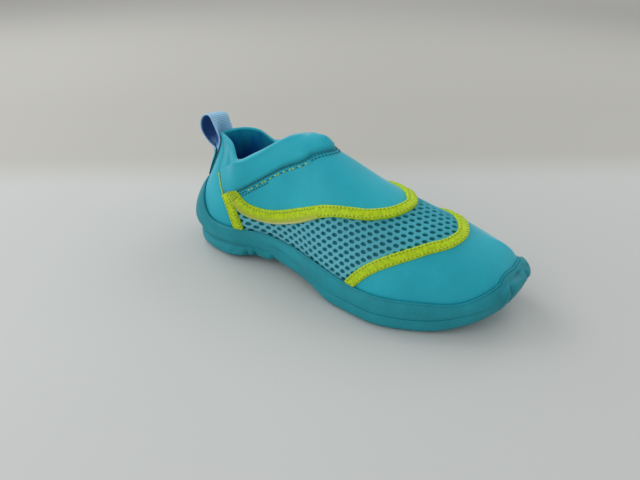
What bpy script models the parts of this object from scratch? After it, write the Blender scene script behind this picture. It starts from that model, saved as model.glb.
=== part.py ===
"""Child's slip-on water shoe, right foot.

It has a moulded rubber sole, a stretch upper with a mesh window, a cuff, tapes and a pull loop.
Frame: +X to the toe, +Y to the inner side, +Z up. The origin is on the floor under the middle of the sole.
"""

import math

import bmesh
import bpy
from mathutils import Vector

# Driving sizes, in metres
SOLE_LENGTH = 0.205
BALL_WIDTH = 0.0824
SIDE_WALL_HEIGHT = 0.0176
HEEL_BUMPER_HEIGHT = 0.0416
TOE_BUMPER_HEIGHT = 0.0317
HEEL_RIM_HEIGHT = 0.0715
INSTEP_HEIGHT = 0.0828
TOE_SPRING = 0.0147
FOOTBED_SPRING = 0.0095
ARCH_RISE = 0.0050
HEEL_THICKNESS = 0.0090
FOREFOOT_THICKNESS = 0.0060
SOLE_EDGE = 0.0042
SOLE_LIP = 0.0018
LEDGE_HEIGHT = 0.0078
LEDGE_STEP = 0.0005
EDGE_ROUND = 0.0030
TOE_LUG_PROUD = 0.0016
GROOVE_WIDTH = 0.0026
GROOVE_DEPTH = 0.0024
UPPER_WALL = 0.0026
MESH_RECESS = 0.0010
INSOLE_THICKNESS = 0.0030
TAPE_WIDTH = 0.0078
TAPE_THICKNESS = 0.0010
CUFF_THICKNESS = 0.0016
WEBBING_WIDTH = 0.0160
WEBBING_THICKNESS = 0.0012
LOOP_BASE_DROP = 0.0095
LOOP_HEIGHT = 0.0200
GAP = 0.0003

# One row for each section from the heel's centre line to the toe's. The sole's edge is a share of the
# length and of half the ball width, on the outer and the inner side. heel_bumper and toe_bumper are how
# far the side wall has risen to each bumper, from 0 to 1.
SOLE_ROWS = [
    # outer_x, outer_y, inner_x, inner_y, heel_bumper, toe_bumper
    (0.000, 0.055, 0.000, 0.055, 1.00, 0.00),
    (0.014, -0.400, 0.014, 0.492, 0.95, 0.00),
    (0.083, -0.608, 0.083, 0.703, 0.28, 0.00),
    (0.180, -0.674, 0.180, 0.753, 0.16, 0.00),
    (0.280, -0.585, 0.285, 0.679, 0.18, 0.00),
    (0.389, -0.654, 0.390, 0.580, 0.15, 0.00),
    (0.494, -0.851, 0.495, 0.610, 0.15, 0.00),
    (0.602, -0.959, 0.600, 0.807, 0.02, 0.00),
    (0.700, -1.000, 0.705, 0.959, 0.00, 0.00),
    (0.803, -0.841, 0.805, 0.998, 0.00, 0.00),
    (0.896, -0.588, 0.895, 0.915, 0.00, 0.06),
    (0.972, -0.207, 0.968, 0.698, 0.00, 0.61),
    (1.000, 0.369, 1.000, 0.369, 0.00, 1.00),
]
THROAT_ROW = 6
LAST_ROW = len(SOLE_ROWS) - 1
ROUND = 2 * LAST_ROW

# The collar's edge from the heel's centre to the throat's. x is a share of the length and y of half the
# ball width. The height is a share of the heel rim's plus a share of the instep's, and the fourth row is
# the notch at the ankle.
COLLAR_ROWS = [
    # x, outer_y, inner_y, heel_share, instep_share
    (0.051, 0.015, 0.015, 0.976, 0.000),
    (0.091, -0.173, 0.275, 1.000, 0.000),
    (0.139, -0.307, 0.443, 0.979, 0.000),
    (0.192, -0.498, 0.531, 0.420, 0.407),
    (0.255, -0.423, 0.492, 0.000, 0.845),
    (0.326, -0.251, 0.325, 0.000, 0.958),
    (0.371, 0.039, 0.039, 0.000, 0.978),
]

# The top line from the throat to the toe. x is a share of the length, y of half the ball width and z of
# the instep's height.
RIDGE_ROWS = [
    # x, y, z
    (0.371, 0.039, 0.978),
    (0.475, 0.064, 0.882),
    (0.580, 0.093, 0.760),
    (0.690, 0.128, 0.662),
    (0.790, 0.198, 0.588),
    (0.870, 0.257, 0.518),
    (0.915, 0.280, 0.492),
]

# How each section bends between the sole and the collar or top line. swell and rise are the lower
# handle's reach outwards and upwards, reach and drop the upper handle's inwards and downwards, as shares
# of the section's height or span. pitch is how far the top follows the instep's slope, from 0 to 1.
SECTION_ROWS = [
    # swell, rise, reach, drop, pitch
    (0.140, 0.36, 0.00, 0.30, 0.0),
    (0.185, 0.36, 0.00, 0.30, 0.0),
    (0.165, 0.36, 0.00, 0.30, 0.0),
    (0.065, 0.36, 0.02, 0.32, 0.0),
    (0.055, 0.38, 0.14, 0.26, 0.3),
    (0.050, 0.40, 0.34, 0.12, 0.8),
    (0.050, 0.42, 0.44, 0.00, 1.0),
    (0.060, 0.44, 0.44, 0.00, 1.0),
    (0.070, 0.46, 0.44, 0.00, 1.0),
    (0.080, 0.48, 0.44, 0.00, 1.0),
    (0.090, 0.52, 0.44, 0.00, 1.0),
    (0.100, 0.58, 0.46, 0.00, 1.0),
    (0.120, 0.60, 0.48, 0.00, 1.0),
]

# Tape lines on the upper. station counts the sections above, and across runs from 0 at the outer sole
# edge over the top line at 1 to 2 at the inner sole edge.
VAMP_TAPE_ROWS = [
    # station, across
    (3.27, 0.497),
    (3.58, 0.410),
    (4.25, 0.332),
    (5.05, 0.353),
    (5.72, 0.402),
    (6.34, 0.470),
    (7.01, 0.542),
    (7.59, 0.610),
    (7.88, 0.653),
    (8.24, 0.712),
    (8.52, 0.779),
    (8.82, 0.891),
    (8.92, 0.966),
    (8.82, 1.040),
    (8.42, 1.175),
    (8.02, 1.268),
    (7.55, 1.365),
    (6.90, 1.475),
    (6.30, 1.545),
    (5.72, 1.598),
    (5.05, 1.647),
    (4.25, 1.668),
    (3.58, 1.590),
    (3.27, 1.503),
]
TOE_TAPE_ROWS = [
    # station, across
    (7.04, 0.118),
    (7.42, 0.230),
    (8.02, 0.356),
    (8.82, 0.491),
    (9.24, 0.569),
    (9.59, 0.620),
    (9.91, 0.695),
    (10.20, 0.803),
    (10.35, 0.935),
    (10.04, 1.127),
    (9.65, 1.235),
    (9.15, 1.370),
    (8.60, 1.485),
    (8.05, 1.620),
    (7.50, 1.790),
    (7.24, 1.895),
]
HEEL_TAPE_ROWS = [
    # station, across
    (2.80, 0.465),
    (3.00, 0.355),
    (3.20, 0.200),
    (3.25, 0.130),
]

# The cuff's two edges, from its rear end on the outer side to the middle of the throat.
CUFF_ROWS = [
    # high_station, high_across, low_station, low_across
    (1.80, 0.660, 2.42, 0.540),
    (2.40, 0.830, 2.80, 0.595),
    (3.00, 1.000, 3.25, 0.652),
    (3.80, 1.000, 4.00, 0.693),
    (4.60, 1.000, 4.80, 0.706),
    (5.30, 1.000, 5.55, 0.724),
    (5.70, 1.000, 6.11, 0.787),
    (5.90, 1.000, 6.58, 0.909),
    (6.00, 1.000, 6.82, 1.000),
]

# The pull loop's path in shares of its height: up the heel's back, over the top and down behind. behind
# is the distance behind the heel's line, and flat is how far the webbing has lost the heel's curve, from
# 0 to 1.
PULL_LOOP_ROWS = [
    # rise, behind, flat
    (0.00, 0.000, 0.00),
    (0.22, 0.000, 0.00),
    (0.42, 0.000, 0.00),
    (0.60, 0.010, 0.40),
    (0.80, 0.030, 0.80),
    (0.94, 0.070, 0.95),
    (1.00, 0.150, 1.00),
    (1.00, 0.240, 1.00),
    (0.94, 0.370, 0.95),
    (0.80, 0.480, 0.90),
    (0.60, 0.540, 0.80),
    (0.42, 0.520, 0.65),
    (0.22, 0.390, 0.30),
    (0.08, 0.180, 0.05),
]

# Grooves between the lugs of the tread, as shares of the length and of half the ball width.
GROOVE_ROWS = [
    # x, outer_y, inner_y
    (0.085, -0.40, 0.46),
    (0.145, -0.52, 0.58),
    (0.205, -0.90, 0.58),
    (0.265, -0.90, 0.90),
    (0.575, -0.78, 0.62),
    (0.635, -0.84, 0.74),
    (0.695, -0.86, 0.82),
    (0.755, -0.80, 0.84),
]

SPOKES_PER_ROW = 3
LIP_STEPS = 4
UPPER_STEPS = 9


def smooth_between(rows, position, closed=False):
    """The row at a position between rows: every column follows one smooth curve through the rows."""
    count = len(rows)
    start = math.floor(position)
    part = position - start
    if not closed:
        start = min(max(start, 0), count - 2)
        part = position - start

    def row(index):
        if closed:
            return rows[index % count]
        if index < 0:
            return [2 * a - b for a, b in zip(rows[0], rows[1])]
        if index >= count:
            return [2 * a - b for a, b in zip(rows[-1], rows[-2])]
        return rows[index]

    found = []
    for a, b, c, d in zip(row(start - 1), row(start), row(start + 1), row(start + 2)):
        bend = (2 * a - 5 * b + 4 * c - d) * part + (3 * (b - c) + d - a) * part * part
        found.append(b + 0.5 * part * ((c - a) + bend))
    return found


def ease(value):
    """A smooth step from 0 to 1."""
    value = min(max(value, 0.0), 1.0)
    return value * value * (3 - 2 * value)


def all_round(one_side, outer, inner):
    """One side's rows as a closed ring: the outer side from heel to toe, then the inner side back."""
    out = [outer(row) for row in one_side]
    back = [inner(row) for row in one_side[1:-1]]
    return out + back[::-1]


def place(x_share, y_share):
    """A plan position from a share of the length, from the heel, and a share of half the ball width."""
    return Vector(((x_share - 0.5) * SOLE_LENGTH, y_share * BALL_WIDTH / 2, 0))


SOLE_RING = all_round(SOLE_ROWS, lambda r: (r[0], r[1], *r[4:]), lambda r: (r[2], r[3], *r[4:]))
SECTION_RING = all_round(SECTION_ROWS, lambda r: r, lambda r: r)
COLLAR_RING = all_round(COLLAR_ROWS, lambda r: (r[0], r[1], *r[3:]), lambda r: (r[0], r[2], *r[3:]))


def share_of_length(x):
    return x / SOLE_LENGTH + 0.5


def floor_height(x):
    """The sole's underside: flat at heel and forefoot, raised at the arch, back edge and toe."""
    share = share_of_length(x)
    back = max(0.0, (0.045 - share) / 0.045)
    arch = ease((share - 0.285) / 0.05) * (1 - ease((share - 0.47) / 0.09))
    toe = max(0.0, (share - 0.78) / 0.22)
    return EDGE_ROUND * back * back + ARCH_RISE * arch + TOE_SPRING * toe**2.2


def footbed_height(x):
    """The inside of the sole, on which the upper's edge and the insole stand."""
    share = share_of_length(x)
    thickness = HEEL_THICKNESS + (FOREFOOT_THICKNESS - HEEL_THICKNESS) * ease((share - 0.30) / 0.35)
    toe = max(0.0, (share - 0.76) / 0.24)
    return thickness + FOOTBED_SPRING * toe**1.6


def sole_edge(q, inset=0.0):
    """The sole's outline in plan at ring position q, moved inwards."""
    step = 0.02
    here = place(*smooth_between(SOLE_RING, q, closed=True)[:2])
    after = place(*smooth_between(SOLE_RING, q + step, closed=True)[:2])
    before = place(*smooth_between(SOLE_RING, q - step, closed=True)[:2])
    along = (after - before).normalized()
    inwards = Vector((-along.y, along.x, 0))
    return here + inwards * inset


def wall_top(q):
    """The height of the sole's side wall at ring position q."""
    heel, toe = smooth_between(SOLE_RING, q, closed=True)[2:]
    rise = heel * (HEEL_BUMPER_HEIGHT - SIDE_WALL_HEIGHT) + toe * (TOE_BUMPER_HEIGHT - SIDE_WALL_HEIGHT)
    return SIDE_WALL_HEIGHT + rise


def station_of(q):
    """The section that ring position q lies on, from 0 at the heel's centre to LAST_ROW at the toe's."""
    q = q % ROUND
    return q if q <= LAST_ROW else ROUND - q


def ridge_point(station):
    x, y, z = smooth_between(RIDGE_ROWS, station - THROAT_ROW)
    point = place(x, y)
    point.z = z * INSTEP_HEIGHT
    return point


def ridge_slope(station):
    step = 0.05
    run = ridge_point(min(station + step, LAST_ROW)) - ridge_point(max(station - step, THROAT_ROW))
    return run.z / run.x


def crown_point(q):
    """Where the section at q ends: on the collar's edge behind the throat, on the top line ahead of it."""
    station = station_of(q)
    if station >= THROAT_ROW:
        return ridge_point(station)
    on_collar = q % ROUND if q % ROUND <= LAST_ROW else 2 * THROAT_ROW - station
    x, y, heel, instep = smooth_between(COLLAR_RING, on_collar, closed=True)
    point = place(x, y)
    point.z = heel * HEEL_RIM_HEIGHT + instep * INSTEP_HEIGHT
    return point


def section_handles(q):
    """The section's four control points, from the sole's inside edge up to the collar or top line."""
    foot = sole_edge(q, SOLE_EDGE)
    foot.z = footbed_height(foot.x) + 2 * GAP
    crown = crown_point(q)
    swell, rise, reach, drop, pitch = smooth_between(SECTION_RING, q, closed=True)
    height = crown.z - foot.z
    outwards = foot - sole_edge(q, SOLE_EDGE + 0.001)
    outwards.z = 0
    outwards.normalize()
    span = foot - crown
    span.z = 0
    low = foot + outwards * swell * height + Vector((0, 0, rise * height))
    high = crown + span * reach - Vector((0, 0, drop * height))
    high.z += pitch * ridge_slope(max(station_of(q), THROAT_ROW)) * (high.x - crown.x)
    return foot, low, high, crown


def on_upper(q, v):
    """A point of the upper's outer face: v runs from 0 at the sole to 1 at the collar or top line."""
    if v > 1:
        q, v = ROUND - q, 2 - v
    foot, low, high, crown = section_handles(q)
    u = 1 - v
    return foot * u**3 + low * 3 * u * u * v + high * 3 * u * v * v + crown * v**3


def normal_on_upper(q, v):
    step = 0.02
    top = v + step if station_of(q) >= THROAT_ROW else min(v + step, 1)
    around = on_upper(q + step, v) - on_upper(q - step, v)
    upwards = on_upper(q, top) - on_upper(q, max(v - step, 0))
    return upwards.cross(around).normalized() * (-1 if v <= 1 else 1)


def ring_place(station, across):
    """The ring position and v of a place given by station and by across, from 0 over 1 to 2."""
    return (station, across) if across <= 1 else (ROUND - station, 2 - across)


def skin(q, v, offset):
    """A point at a distance off the upper's outer face."""
    if station_of(q) < THROAT_ROW:
        v = min(v, 1)
    return on_upper(q, v) + normal_on_upper(q, v) * offset


def nearest_place(point, station, across):
    """The place on the upper nearest to a point, starting from a guess."""
    step = 0.01
    for _ in range(6):
        here = skin(*ring_place(station, across), 0)
        by_station = (skin(*ring_place(station + step, across), 0) - here) / step
        by_across = (skin(*ring_place(station, across + step), 0) - here) / step
        miss = point - here
        ss, sa, aa = by_station.dot(by_station), by_station.dot(by_across), by_across.dot(by_across)
        ds, da = by_station.dot(miss), by_across.dot(miss)
        scale = ss * aa - sa * sa
        station += min(max((ds * aa - da * sa) / scale, -0.3), 0.3)
        across += min(max((da * ss - ds * sa) / scale, -0.1), 0.1)
    return station, across


def v_at_height(q, height):
    """Where the section at q reaches a height."""
    low, high = 0.0, 1.0
    for _ in range(20):
        middle = (low + high) / 2
        if on_upper(q, middle).z < height:
            low = middle
        else:
            high = middle
    return low


def lip_levels(q):
    """Steps of v from the upper's bottom edge to the sole's lip, shared by upper and sole."""
    lip = v_at_height(q, wall_top(q))
    return [lip * j / LIP_STEPS for j in range(LIP_STEPS + 1)]


def material(name, colour, roughness):
    made = bpy.data.materials.new(name)
    made.use_nodes = True
    shader = made.node_tree.nodes["Principled BSDF"]
    shader.inputs["Base Color"].default_value = (*colour, 1)
    shader.inputs["Roughness"].default_value = roughness
    shader.inputs["Metallic"].default_value = 0
    return made


def finish(name, bm, made_of):
    """Turns a bmesh into a named object with its material, shaded smooth but for sharp edges."""
    bmesh.ops.remove_doubles(bm, verts=bm.verts, dist=1e-6)
    bmesh.ops.recalc_face_normals(bm, faces=bm.faces)
    mesh = bpy.data.meshes.new(name)
    bm.to_mesh(mesh)
    bm.free()
    mesh.materials.append(made_of)
    mesh.shade_smooth()
    mesh.set_sharp_from_angle(angle=math.radians(40))
    obj = bpy.data.objects.new(name, mesh)
    bpy.context.scene.collection.objects.link(obj)
    return obj


def skin_grid(bm, rows, wrap=False, turn=False):
    """Triangles between rows of points. wrap joins last row to first, and turn joins each row's ends."""
    verts = [[bm.verts.new(point) for point in row] for row in rows]
    count = len(verts)
    width = len(verts[0])
    for i in range(count if wrap else count - 1):
        for j in range(width if turn else width - 1):
            a, b = verts[i], verts[(i + 1) % count]
            k = (j + 1) % width
            bm.faces.new((a[j], a[k], b[k]))
            bm.faces.new((a[j], b[k], b[j]))
    return verts


def sheet_solid(name, grid, low, high, made_of):
    """A closed sheet on the upper: grid is rows of (q, v), and low and high are its faces' offsets."""
    over = [[skin(q, v, high) for q, v in row] for row in grid]
    under = [[skin(q, v, low) for q, v in row] for row in grid]
    return two_faced(name, over, under, made_of)


def two_faced(name, over, under, made_of):
    """A closed solid between two equal grids of points."""
    bm = bmesh.new()
    verts = skin_grid(bm, [a + b[::-1] for a, b in zip(over, under)], turn=True)
    width = len(over[0])
    for end in (verts[0], verts[-1]):
        for j in range(width - 1):
            bm.faces.new((end[j], end[j + 1], end[2 * width - 2 - j], end[2 * width - 1 - j]))
    return finish(name, bm, made_of)


def above_lip(q, v):
    """Keeps a place on the upper clear of the sole's lip."""
    return q, max(v, v_at_height(q, wall_top(q) + 2 * GAP))


def tape_solid(name, rows, count, made_of, columns=3):
    """A flat tape of even width along a smooth line on the upper. It stops at the sole's lip."""
    knots = [skin(*ring_place(s, a), 0) for s, a in rows]
    last = len(rows) - 1
    positions = [last * i / (count - 1) for i in range(count)]
    line = [Vector(smooth_between(knots, t)) for t in positions]
    grid = []
    for i, t in enumerate(positions):
        along = (line[min(i + 1, count - 1)] - line[max(i - 1, 0)]).normalized()
        station, across = nearest_place(line[i], *smooth_between(rows, t))
        aside = normal_on_upper(*ring_place(station, across)).cross(along).normalized()
        row = []
        for j in range(columns):
            shift = TAPE_WIDTH * (j / (columns - 1) - 0.5)
            row.append(above_lip(*ring_place(*nearest_place(line[i] + aside * shift, station, across))))
        grid.append(row)
    return sheet_solid(name, grid, GAP, GAP + TAPE_THICKNESS, made_of)


def cuff_solid(name, made_of, count=57, columns=6):
    """The folded band round the throat, from one side of the heel to the other."""
    grid = []
    for i in range(count):
        t = 2 * i / (count - 1)
        row = smooth_between(CUFF_ROWS, min(t, 2 - t) * (len(CUFF_ROWS) - 1))
        shares = [j / (columns - 1) for j in range(columns)]
        points = [(row[0] + (row[2] - row[0]) * k, row[1] + (row[3] - row[1]) * k) for k in shares]
        grid.append([(s if t <= 1 else ROUND - s, min(v, 1)) for s, v in points])
    return sheet_solid(name, grid, GAP, GAP + CUFF_THICKNESS, made_of)


def heel_back(side, height, offset):
    """A point on the heel's back: side runs from -1 to 1 across the webbing."""
    middle = on_upper(0, v_at_height(0, height))
    low, high = 0.0, 2.5
    for _ in range(14):
        q = (low + high) / 2 if side < 0 else ROUND - (low + high) / 2
        v = v_at_height(q, height)
        if abs(on_upper(q, v).y - middle.y) < abs(side) * WEBBING_WIDTH * 0.46:
            low = (low + high) / 2
        else:
            high = (low + high) / 2
    return on_upper(q, v) + normal_on_upper(q, v) * offset


def loop_solid(name, made_of, columns=5, tape_rows=5):
    """Webbing folded in two up the heel's back, with a free loop over the rim."""
    sides = [2 * j / (columns - 1) - 1 for j in range(columns)]
    first = 2 * GAP + WEBBING_THICKNESS / 2
    second = first + WEBBING_THICKNESS + GAP
    foot = HEEL_BUMPER_HEIGHT + 3 * GAP
    base = HEEL_RIM_HEIGHT - LOOP_BASE_DROP
    heights = [foot + (base - foot) * i / tape_rows for i in range(tape_rows)]
    rim = HEEL_RIM_HEIGHT * COLLAR_ROWS[0][3] - 2 * GAP
    grid = [[heel_back(side, height, first) for side in sides] for height in heights]
    for rise, behind, flat in PULL_LOOP_ROWS:
        height = base + rise * LOOP_HEIGHT
        row = [heel_back(side, min(height, rim), first) for side in sides]
        level = sum(point.x for point in row) / columns
        for side, point in zip(sides, row):
            point.x += (level - point.x) * flat - behind * LOOP_HEIGHT
            point.z = height - flat * side * WEBBING_THICKNESS
        grid.append(row)
    grid.append([heel_back(side, base, second) for side in sides])
    grid += [[heel_back(side, height, second) for side in sides] for height in heights[::-1]]
    over, under = [], []
    for i, row in enumerate(grid):
        before, after = grid[max(i - 1, 0)], grid[min(i + 1, len(grid) - 1)]
        over_row, under_row = [], []
        for j, point in enumerate(row):
            aside = row[min(j + 1, columns - 1)] - row[max(j - 1, 0)]
            half = (after[j] - before[j]).cross(aside).normalized() * WEBBING_THICKNESS / 2
            over_row.append(point + half)
            under_row.append(point - half)
        over.append(over_row)
        under.append(under_row)
    return two_faced(name, over, under, made_of)


def ring_positions():
    return [i / SPOKES_PER_ROW for i in range(ROUND * SPOKES_PER_ROW)]


def window_edge(rows, station):
    """How far across the upper a tape's line lies at a station on the outer side, or None past its ends."""
    for (s0, a0), (s1, a1) in zip(rows, rows[1:]):
        if s0 <= station <= s1:
            return a0 + (a1 - a0) * (station - s0) / (s1 - s0)
    return None


def mesh_recess(q, v):
    """How far the mesh window lies below the rest of the upper, between the vamp, toe and heel tapes."""
    station = station_of(q)
    vamp, toe = window_edge(VAMP_TAPE_ROWS, station), window_edge(TOE_TAPE_ROWS, station)
    ahead_of_vamp = v < vamp if vamp else station > max(VAMP_TAPE_ROWS)[0]
    behind_toe = v > toe if toe else station < TOE_TAPE_ROWS[0][0]
    return MESH_RECESS if ahead_of_vamp and behind_toe and station < max(TOE_TAPE_ROWS)[0] else 0.0


def upper_point(q, v, inside):
    """A point of the upper's inner or outer face. Both sides share the points of the top line."""
    if v == 1 and station_of(q) >= THROAT_ROW:
        q = station_of(q)
    depth = UPPER_WALL if inside else mesh_recess(q, v)
    return on_upper(q, v) - normal_on_upper(q, v) * depth


def make_upper(made_of):
    """One hollow shell, open at the collar and underneath."""
    bm = bmesh.new()
    ring = ring_positions()
    levels = []
    for q in ring:
        low = lip_levels(q)
        rest = [low[-1] + (1 - low[-1]) * j / UPPER_STEPS for j in range(1, UPPER_STEPS)]
        levels.append(low + rest + [1])
    faces = []
    for inside in (False, True):
        rows = [[upper_point(q, v, inside) for v in steps] for q, steps in zip(ring, levels)]
        faces.append(skin_grid(bm, rows, wrap=True))
    outer, inner = faces
    for i in range(len(ring)):
        k = (i + 1) % len(ring)
        bm.faces.new((outer[i][0], outer[k][0], inner[k][0], inner[i][0]))
        if max(station_of(ring[i]), station_of(ring[k])) <= THROAT_ROW + 0.001:
            bm.faces.new((outer[i][-1], outer[k][-1], inner[k][-1], inner[i][-1]))
    return finish("upper", bm, made_of)


def make_insole(made_of):
    """A flat liner on the footbed, inside the upper's wall."""
    bm = bmesh.new()
    inset = SOLE_EDGE + UPPER_WALL + 2 * GAP
    rows = []
    for q in ring_positions():
        row = []
        for lift in (GAP, GAP + INSOLE_THICKNESS):
            layer = []
            edge, middle = sole_edge(q, inset), spine_point(q, footbed_height)
            for share in (0.0, 0.5, 1.0):
                point = middle.lerp(edge, share)
                point.z = footbed_height(point.x) + lift
                layer.append(point)
            row.append(layer)
        rows.append(row[0] + row[1][::-1])
    skin_grid(bm, rows, wrap=True)
    return finish("insole", bm, made_of)


def make_outsole(made_of):
    """Cup sole: underside, ledge, side wall with heel and toe bumpers, lip, inner wall and footbed."""
    bm = bmesh.new()
    skin_grid(bm, [sole_section(q) for q in ring_positions()], wrap=True)
    return finish("outsole", bm, made_of)


def spine_point(q, height):
    """The middle line of the sole under ring position q."""
    station = station_of(q)
    middle = (sole_edge(station) + sole_edge(ROUND - station)) / 2
    first, final = place(0.09, 0.03), place(0.87, 0.24)
    if middle.x < first.x:
        middle = first
    if middle.x > final.x:
        middle = final
    middle.z = height(middle.x)
    return middle


def cut_grooves(outsole):
    """Cuts the grooves between the lugs out of the tread."""
    bm = bmesh.new()
    for x, outer_y, inner_y in GROOVE_ROWS:
        start, end = place(x, outer_y), place(x, inner_y)
        made = bmesh.ops.create_cube(bm, size=1)["verts"]
        bmesh.ops.scale(bm, vec=(GROOVE_WIDTH, end.y - start.y, 2 * GROOVE_DEPTH), verts=made)
        bmesh.ops.translate(bm, vec=(start + end) / 2, verts=made)
    cutter = finish("groove_cutter", bm, outsole.data.materials[0])
    cutter.hide_render = True
    cutter.display_type = "WIRE"
    cut = outsole.modifiers.new("Grooves", "BOOLEAN")
    cut.operation = "DIFFERENCE"
    cut.solver = "EXACT"
    cut.object = cutter


def toe_lug(q, share):
    """How far the tread stands out over the toe, where it wraps up the front of the wall."""
    station = station_of(q)
    edge = 10.45 if q % ROUND <= LAST_ROW else 10.3
    along = ease((station - edge) / 0.25)
    scallop = 0.80 + 0.10 * math.cos((q - LAST_ROW) * 4.2)
    return TOE_LUG_PROUD * along * (1 - ease((share - scallop) / 0.10))


def sole_section(q):
    """The points round one half section of the sole, from the footbed's middle out, up, over and under.

    They run this way so that the inner wall's triangles match the upper's.
    """
    top = wall_top(q)
    points = [spine_point(q, floor_height)]
    edge = sole_edge(q, EDGE_ROUND)
    for share in (0.5, 1.0):
        point = points[0].lerp(edge, share)
        point.z = floor_height(point.x)
        points.append(point)
    for inset, lift in ((0.28 * EDGE_ROUND, 0.26), (0.0, 0.62), (0.0, 1.0)):
        point = sole_edge(q, inset - toe_lug(q, 0.0) * lift)
        point.z = floor_height(point.x) + LEDGE_HEIGHT * lift
        points.append(point)
    ledge = points[-1].z
    thick_low = SOLE_EDGE - GAP - LEDGE_STEP
    for share in (0.06, 0.35, 0.65, 0.94):
        height = ledge + (top - ledge) * share
        v = v_at_height(q, height)
        thick = thick_low + (SOLE_LIP - thick_low) * share
        point = on_upper(q, v) + normal_on_upper(q, v) * (GAP + thick + toe_lug(q, share))
        point.z = height
        points.append(point)
    levels = lip_levels(q)
    lip = on_upper(q, levels[-1]) + normal_on_upper(q, levels[-1]) * (GAP + SOLE_LIP * 0.6)
    lip.z = top
    points.append(lip)
    points += [on_upper(q, v) + normal_on_upper(q, v) * GAP for v in levels[::-1]]
    corner = sole_edge(q, SOLE_EDGE - GAP)
    corner.z = footbed_height(corner.x)
    points.append(corner)
    middle = spine_point(q, footbed_height)
    inside = corner.lerp(middle, 0.5)
    inside.z = footbed_height(inside.x)
    return (points + [inside, middle])[::-1]


def clear_scene():
    for obj in list(bpy.data.objects):
        bpy.data.objects.remove(obj)


def main():
    clear_scene()
    rubber = material("sole_rubber", (0.02, 0.25, 0.30), 0.6)
    neoprene = material("neoprene", (0.03, 0.36, 0.48), 0.7)
    cuff_cloth = material("cuff_cloth", (0.03, 0.38, 0.50), 0.7)
    lime = material("lime_tape", (0.45, 0.58, 0.02), 0.5)
    webbing = material("webbing", (0.20, 0.42, 0.66), 0.8)
    foam = material("insole_foam", (0.02, 0.07, 0.14), 0.9)
    outsole = make_outsole(rubber)
    cut_grooves(outsole)
    make_upper(neoprene)
    make_insole(foam)
    cuff_solid("collar_cuff", cuff_cloth)
    tape_solid("vamp_tape", VAMP_TAPE_ROWS, 61, lime)
    tape_solid("toe_tape", TOE_TAPE_ROWS, 41, lime)
    tape_solid("heel_tape_outer", HEEL_TAPE_ROWS, 9, lime)
    tape_solid("heel_tape_inner", [(s, 2 - a) for s, a in HEEL_TAPE_ROWS], 9, lime)
    loop_solid("pull_loop", webbing)


main()
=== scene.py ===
import math

import bmesh
import bpy
import numpy as np
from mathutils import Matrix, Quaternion, Vector


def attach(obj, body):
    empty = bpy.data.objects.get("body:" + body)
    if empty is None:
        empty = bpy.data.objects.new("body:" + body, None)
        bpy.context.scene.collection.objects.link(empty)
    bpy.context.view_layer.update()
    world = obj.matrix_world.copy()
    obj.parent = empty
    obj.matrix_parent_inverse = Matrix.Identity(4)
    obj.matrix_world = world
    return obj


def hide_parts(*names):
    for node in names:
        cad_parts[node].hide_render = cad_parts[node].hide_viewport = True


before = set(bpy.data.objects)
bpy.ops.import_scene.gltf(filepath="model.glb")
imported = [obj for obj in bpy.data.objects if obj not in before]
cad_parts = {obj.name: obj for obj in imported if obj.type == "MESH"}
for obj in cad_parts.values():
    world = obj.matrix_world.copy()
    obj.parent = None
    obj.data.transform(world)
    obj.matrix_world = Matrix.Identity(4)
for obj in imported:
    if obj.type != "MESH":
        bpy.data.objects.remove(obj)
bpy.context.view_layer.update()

# Driving sizes in metres, the same as the solid model's
soleLength = 0.205
ballWidth = 0.0824
sideWallHeight = 0.0176
heelBumperHeight = 0.0416
toeBumperHeight = 0.0317
heelRimHeight = 0.0715
instepHeight = 0.0828
toeSpring = 0.0147
footbedSpring = 0.0095
archRise = 0.0050
heelThickness = 0.0090
forefootThickness = 0.0060
soleEdgeWidth = 0.0042
soleLip = 0.0018
ledgeHeight = 0.0078
ledgeStep = 0.0005
edgeRound = 0.0030
toeLugProud = 0.0016
upperWall = 0.0026
tapeWidth = 0.0078
webbingWidth = 0.0160
webbingThickness = 0.0012
loopBaseDrop = 0.0095
loopHeight = 0.0200
insoleThickness = 0.0030
gap = 0.0003

# The last's sections from the heel's centre line to the toe's. Places are shares of the sole's length and of
# half the ball's width, bumpers are shares of the rise from the side wall's top to the bumper's.
soleRows = [
    # outerX, outerY, innerX, innerY, heelBumper, toeBumper
    (0.000, 0.055, 0.000, 0.055, 1.00, 0.00),
    (0.014, -0.400, 0.014, 0.492, 0.95, 0.00),
    (0.083, -0.608, 0.083, 0.703, 0.28, 0.00),
    (0.180, -0.674, 0.180, 0.753, 0.16, 0.00),
    (0.280, -0.585, 0.285, 0.679, 0.18, 0.00),
    (0.389, -0.654, 0.390, 0.580, 0.15, 0.00),
    (0.494, -0.851, 0.495, 0.610, 0.15, 0.00),
    (0.602, -0.959, 0.600, 0.807, 0.02, 0.00),
    (0.700, -1.000, 0.705, 0.959, 0.00, 0.00),
    (0.803, -0.841, 0.805, 0.998, 0.00, 0.00),
    (0.896, -0.588, 0.895, 0.915, 0.00, 0.06),
    (0.972, -0.207, 0.968, 0.698, 0.00, 0.61),
    (1.000, 0.369, 1.000, 0.369, 0.00, 1.00),
]
throatRow = 6
lastRow = len(soleRows) - 1
fullRound = 2 * lastRow

# The collar from the heel's centre to the throat's, its height as shares of the heel rim's and the instep's
collarRows = [
    # x, outerY, innerY, heelShare, instepShare
    (0.051, 0.015, 0.015, 0.976, 0.000),
    (0.091, -0.173, 0.275, 1.000, 0.000),
    (0.139, -0.307, 0.443, 0.979, 0.000),
    (0.192, -0.498, 0.531, 0.420, 0.407),
    (0.255, -0.423, 0.492, 0.000, 0.845),
    (0.326, -0.251, 0.325, 0.000, 0.958),
    (0.371, 0.039, 0.039, 0.000, 0.978),
]
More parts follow.
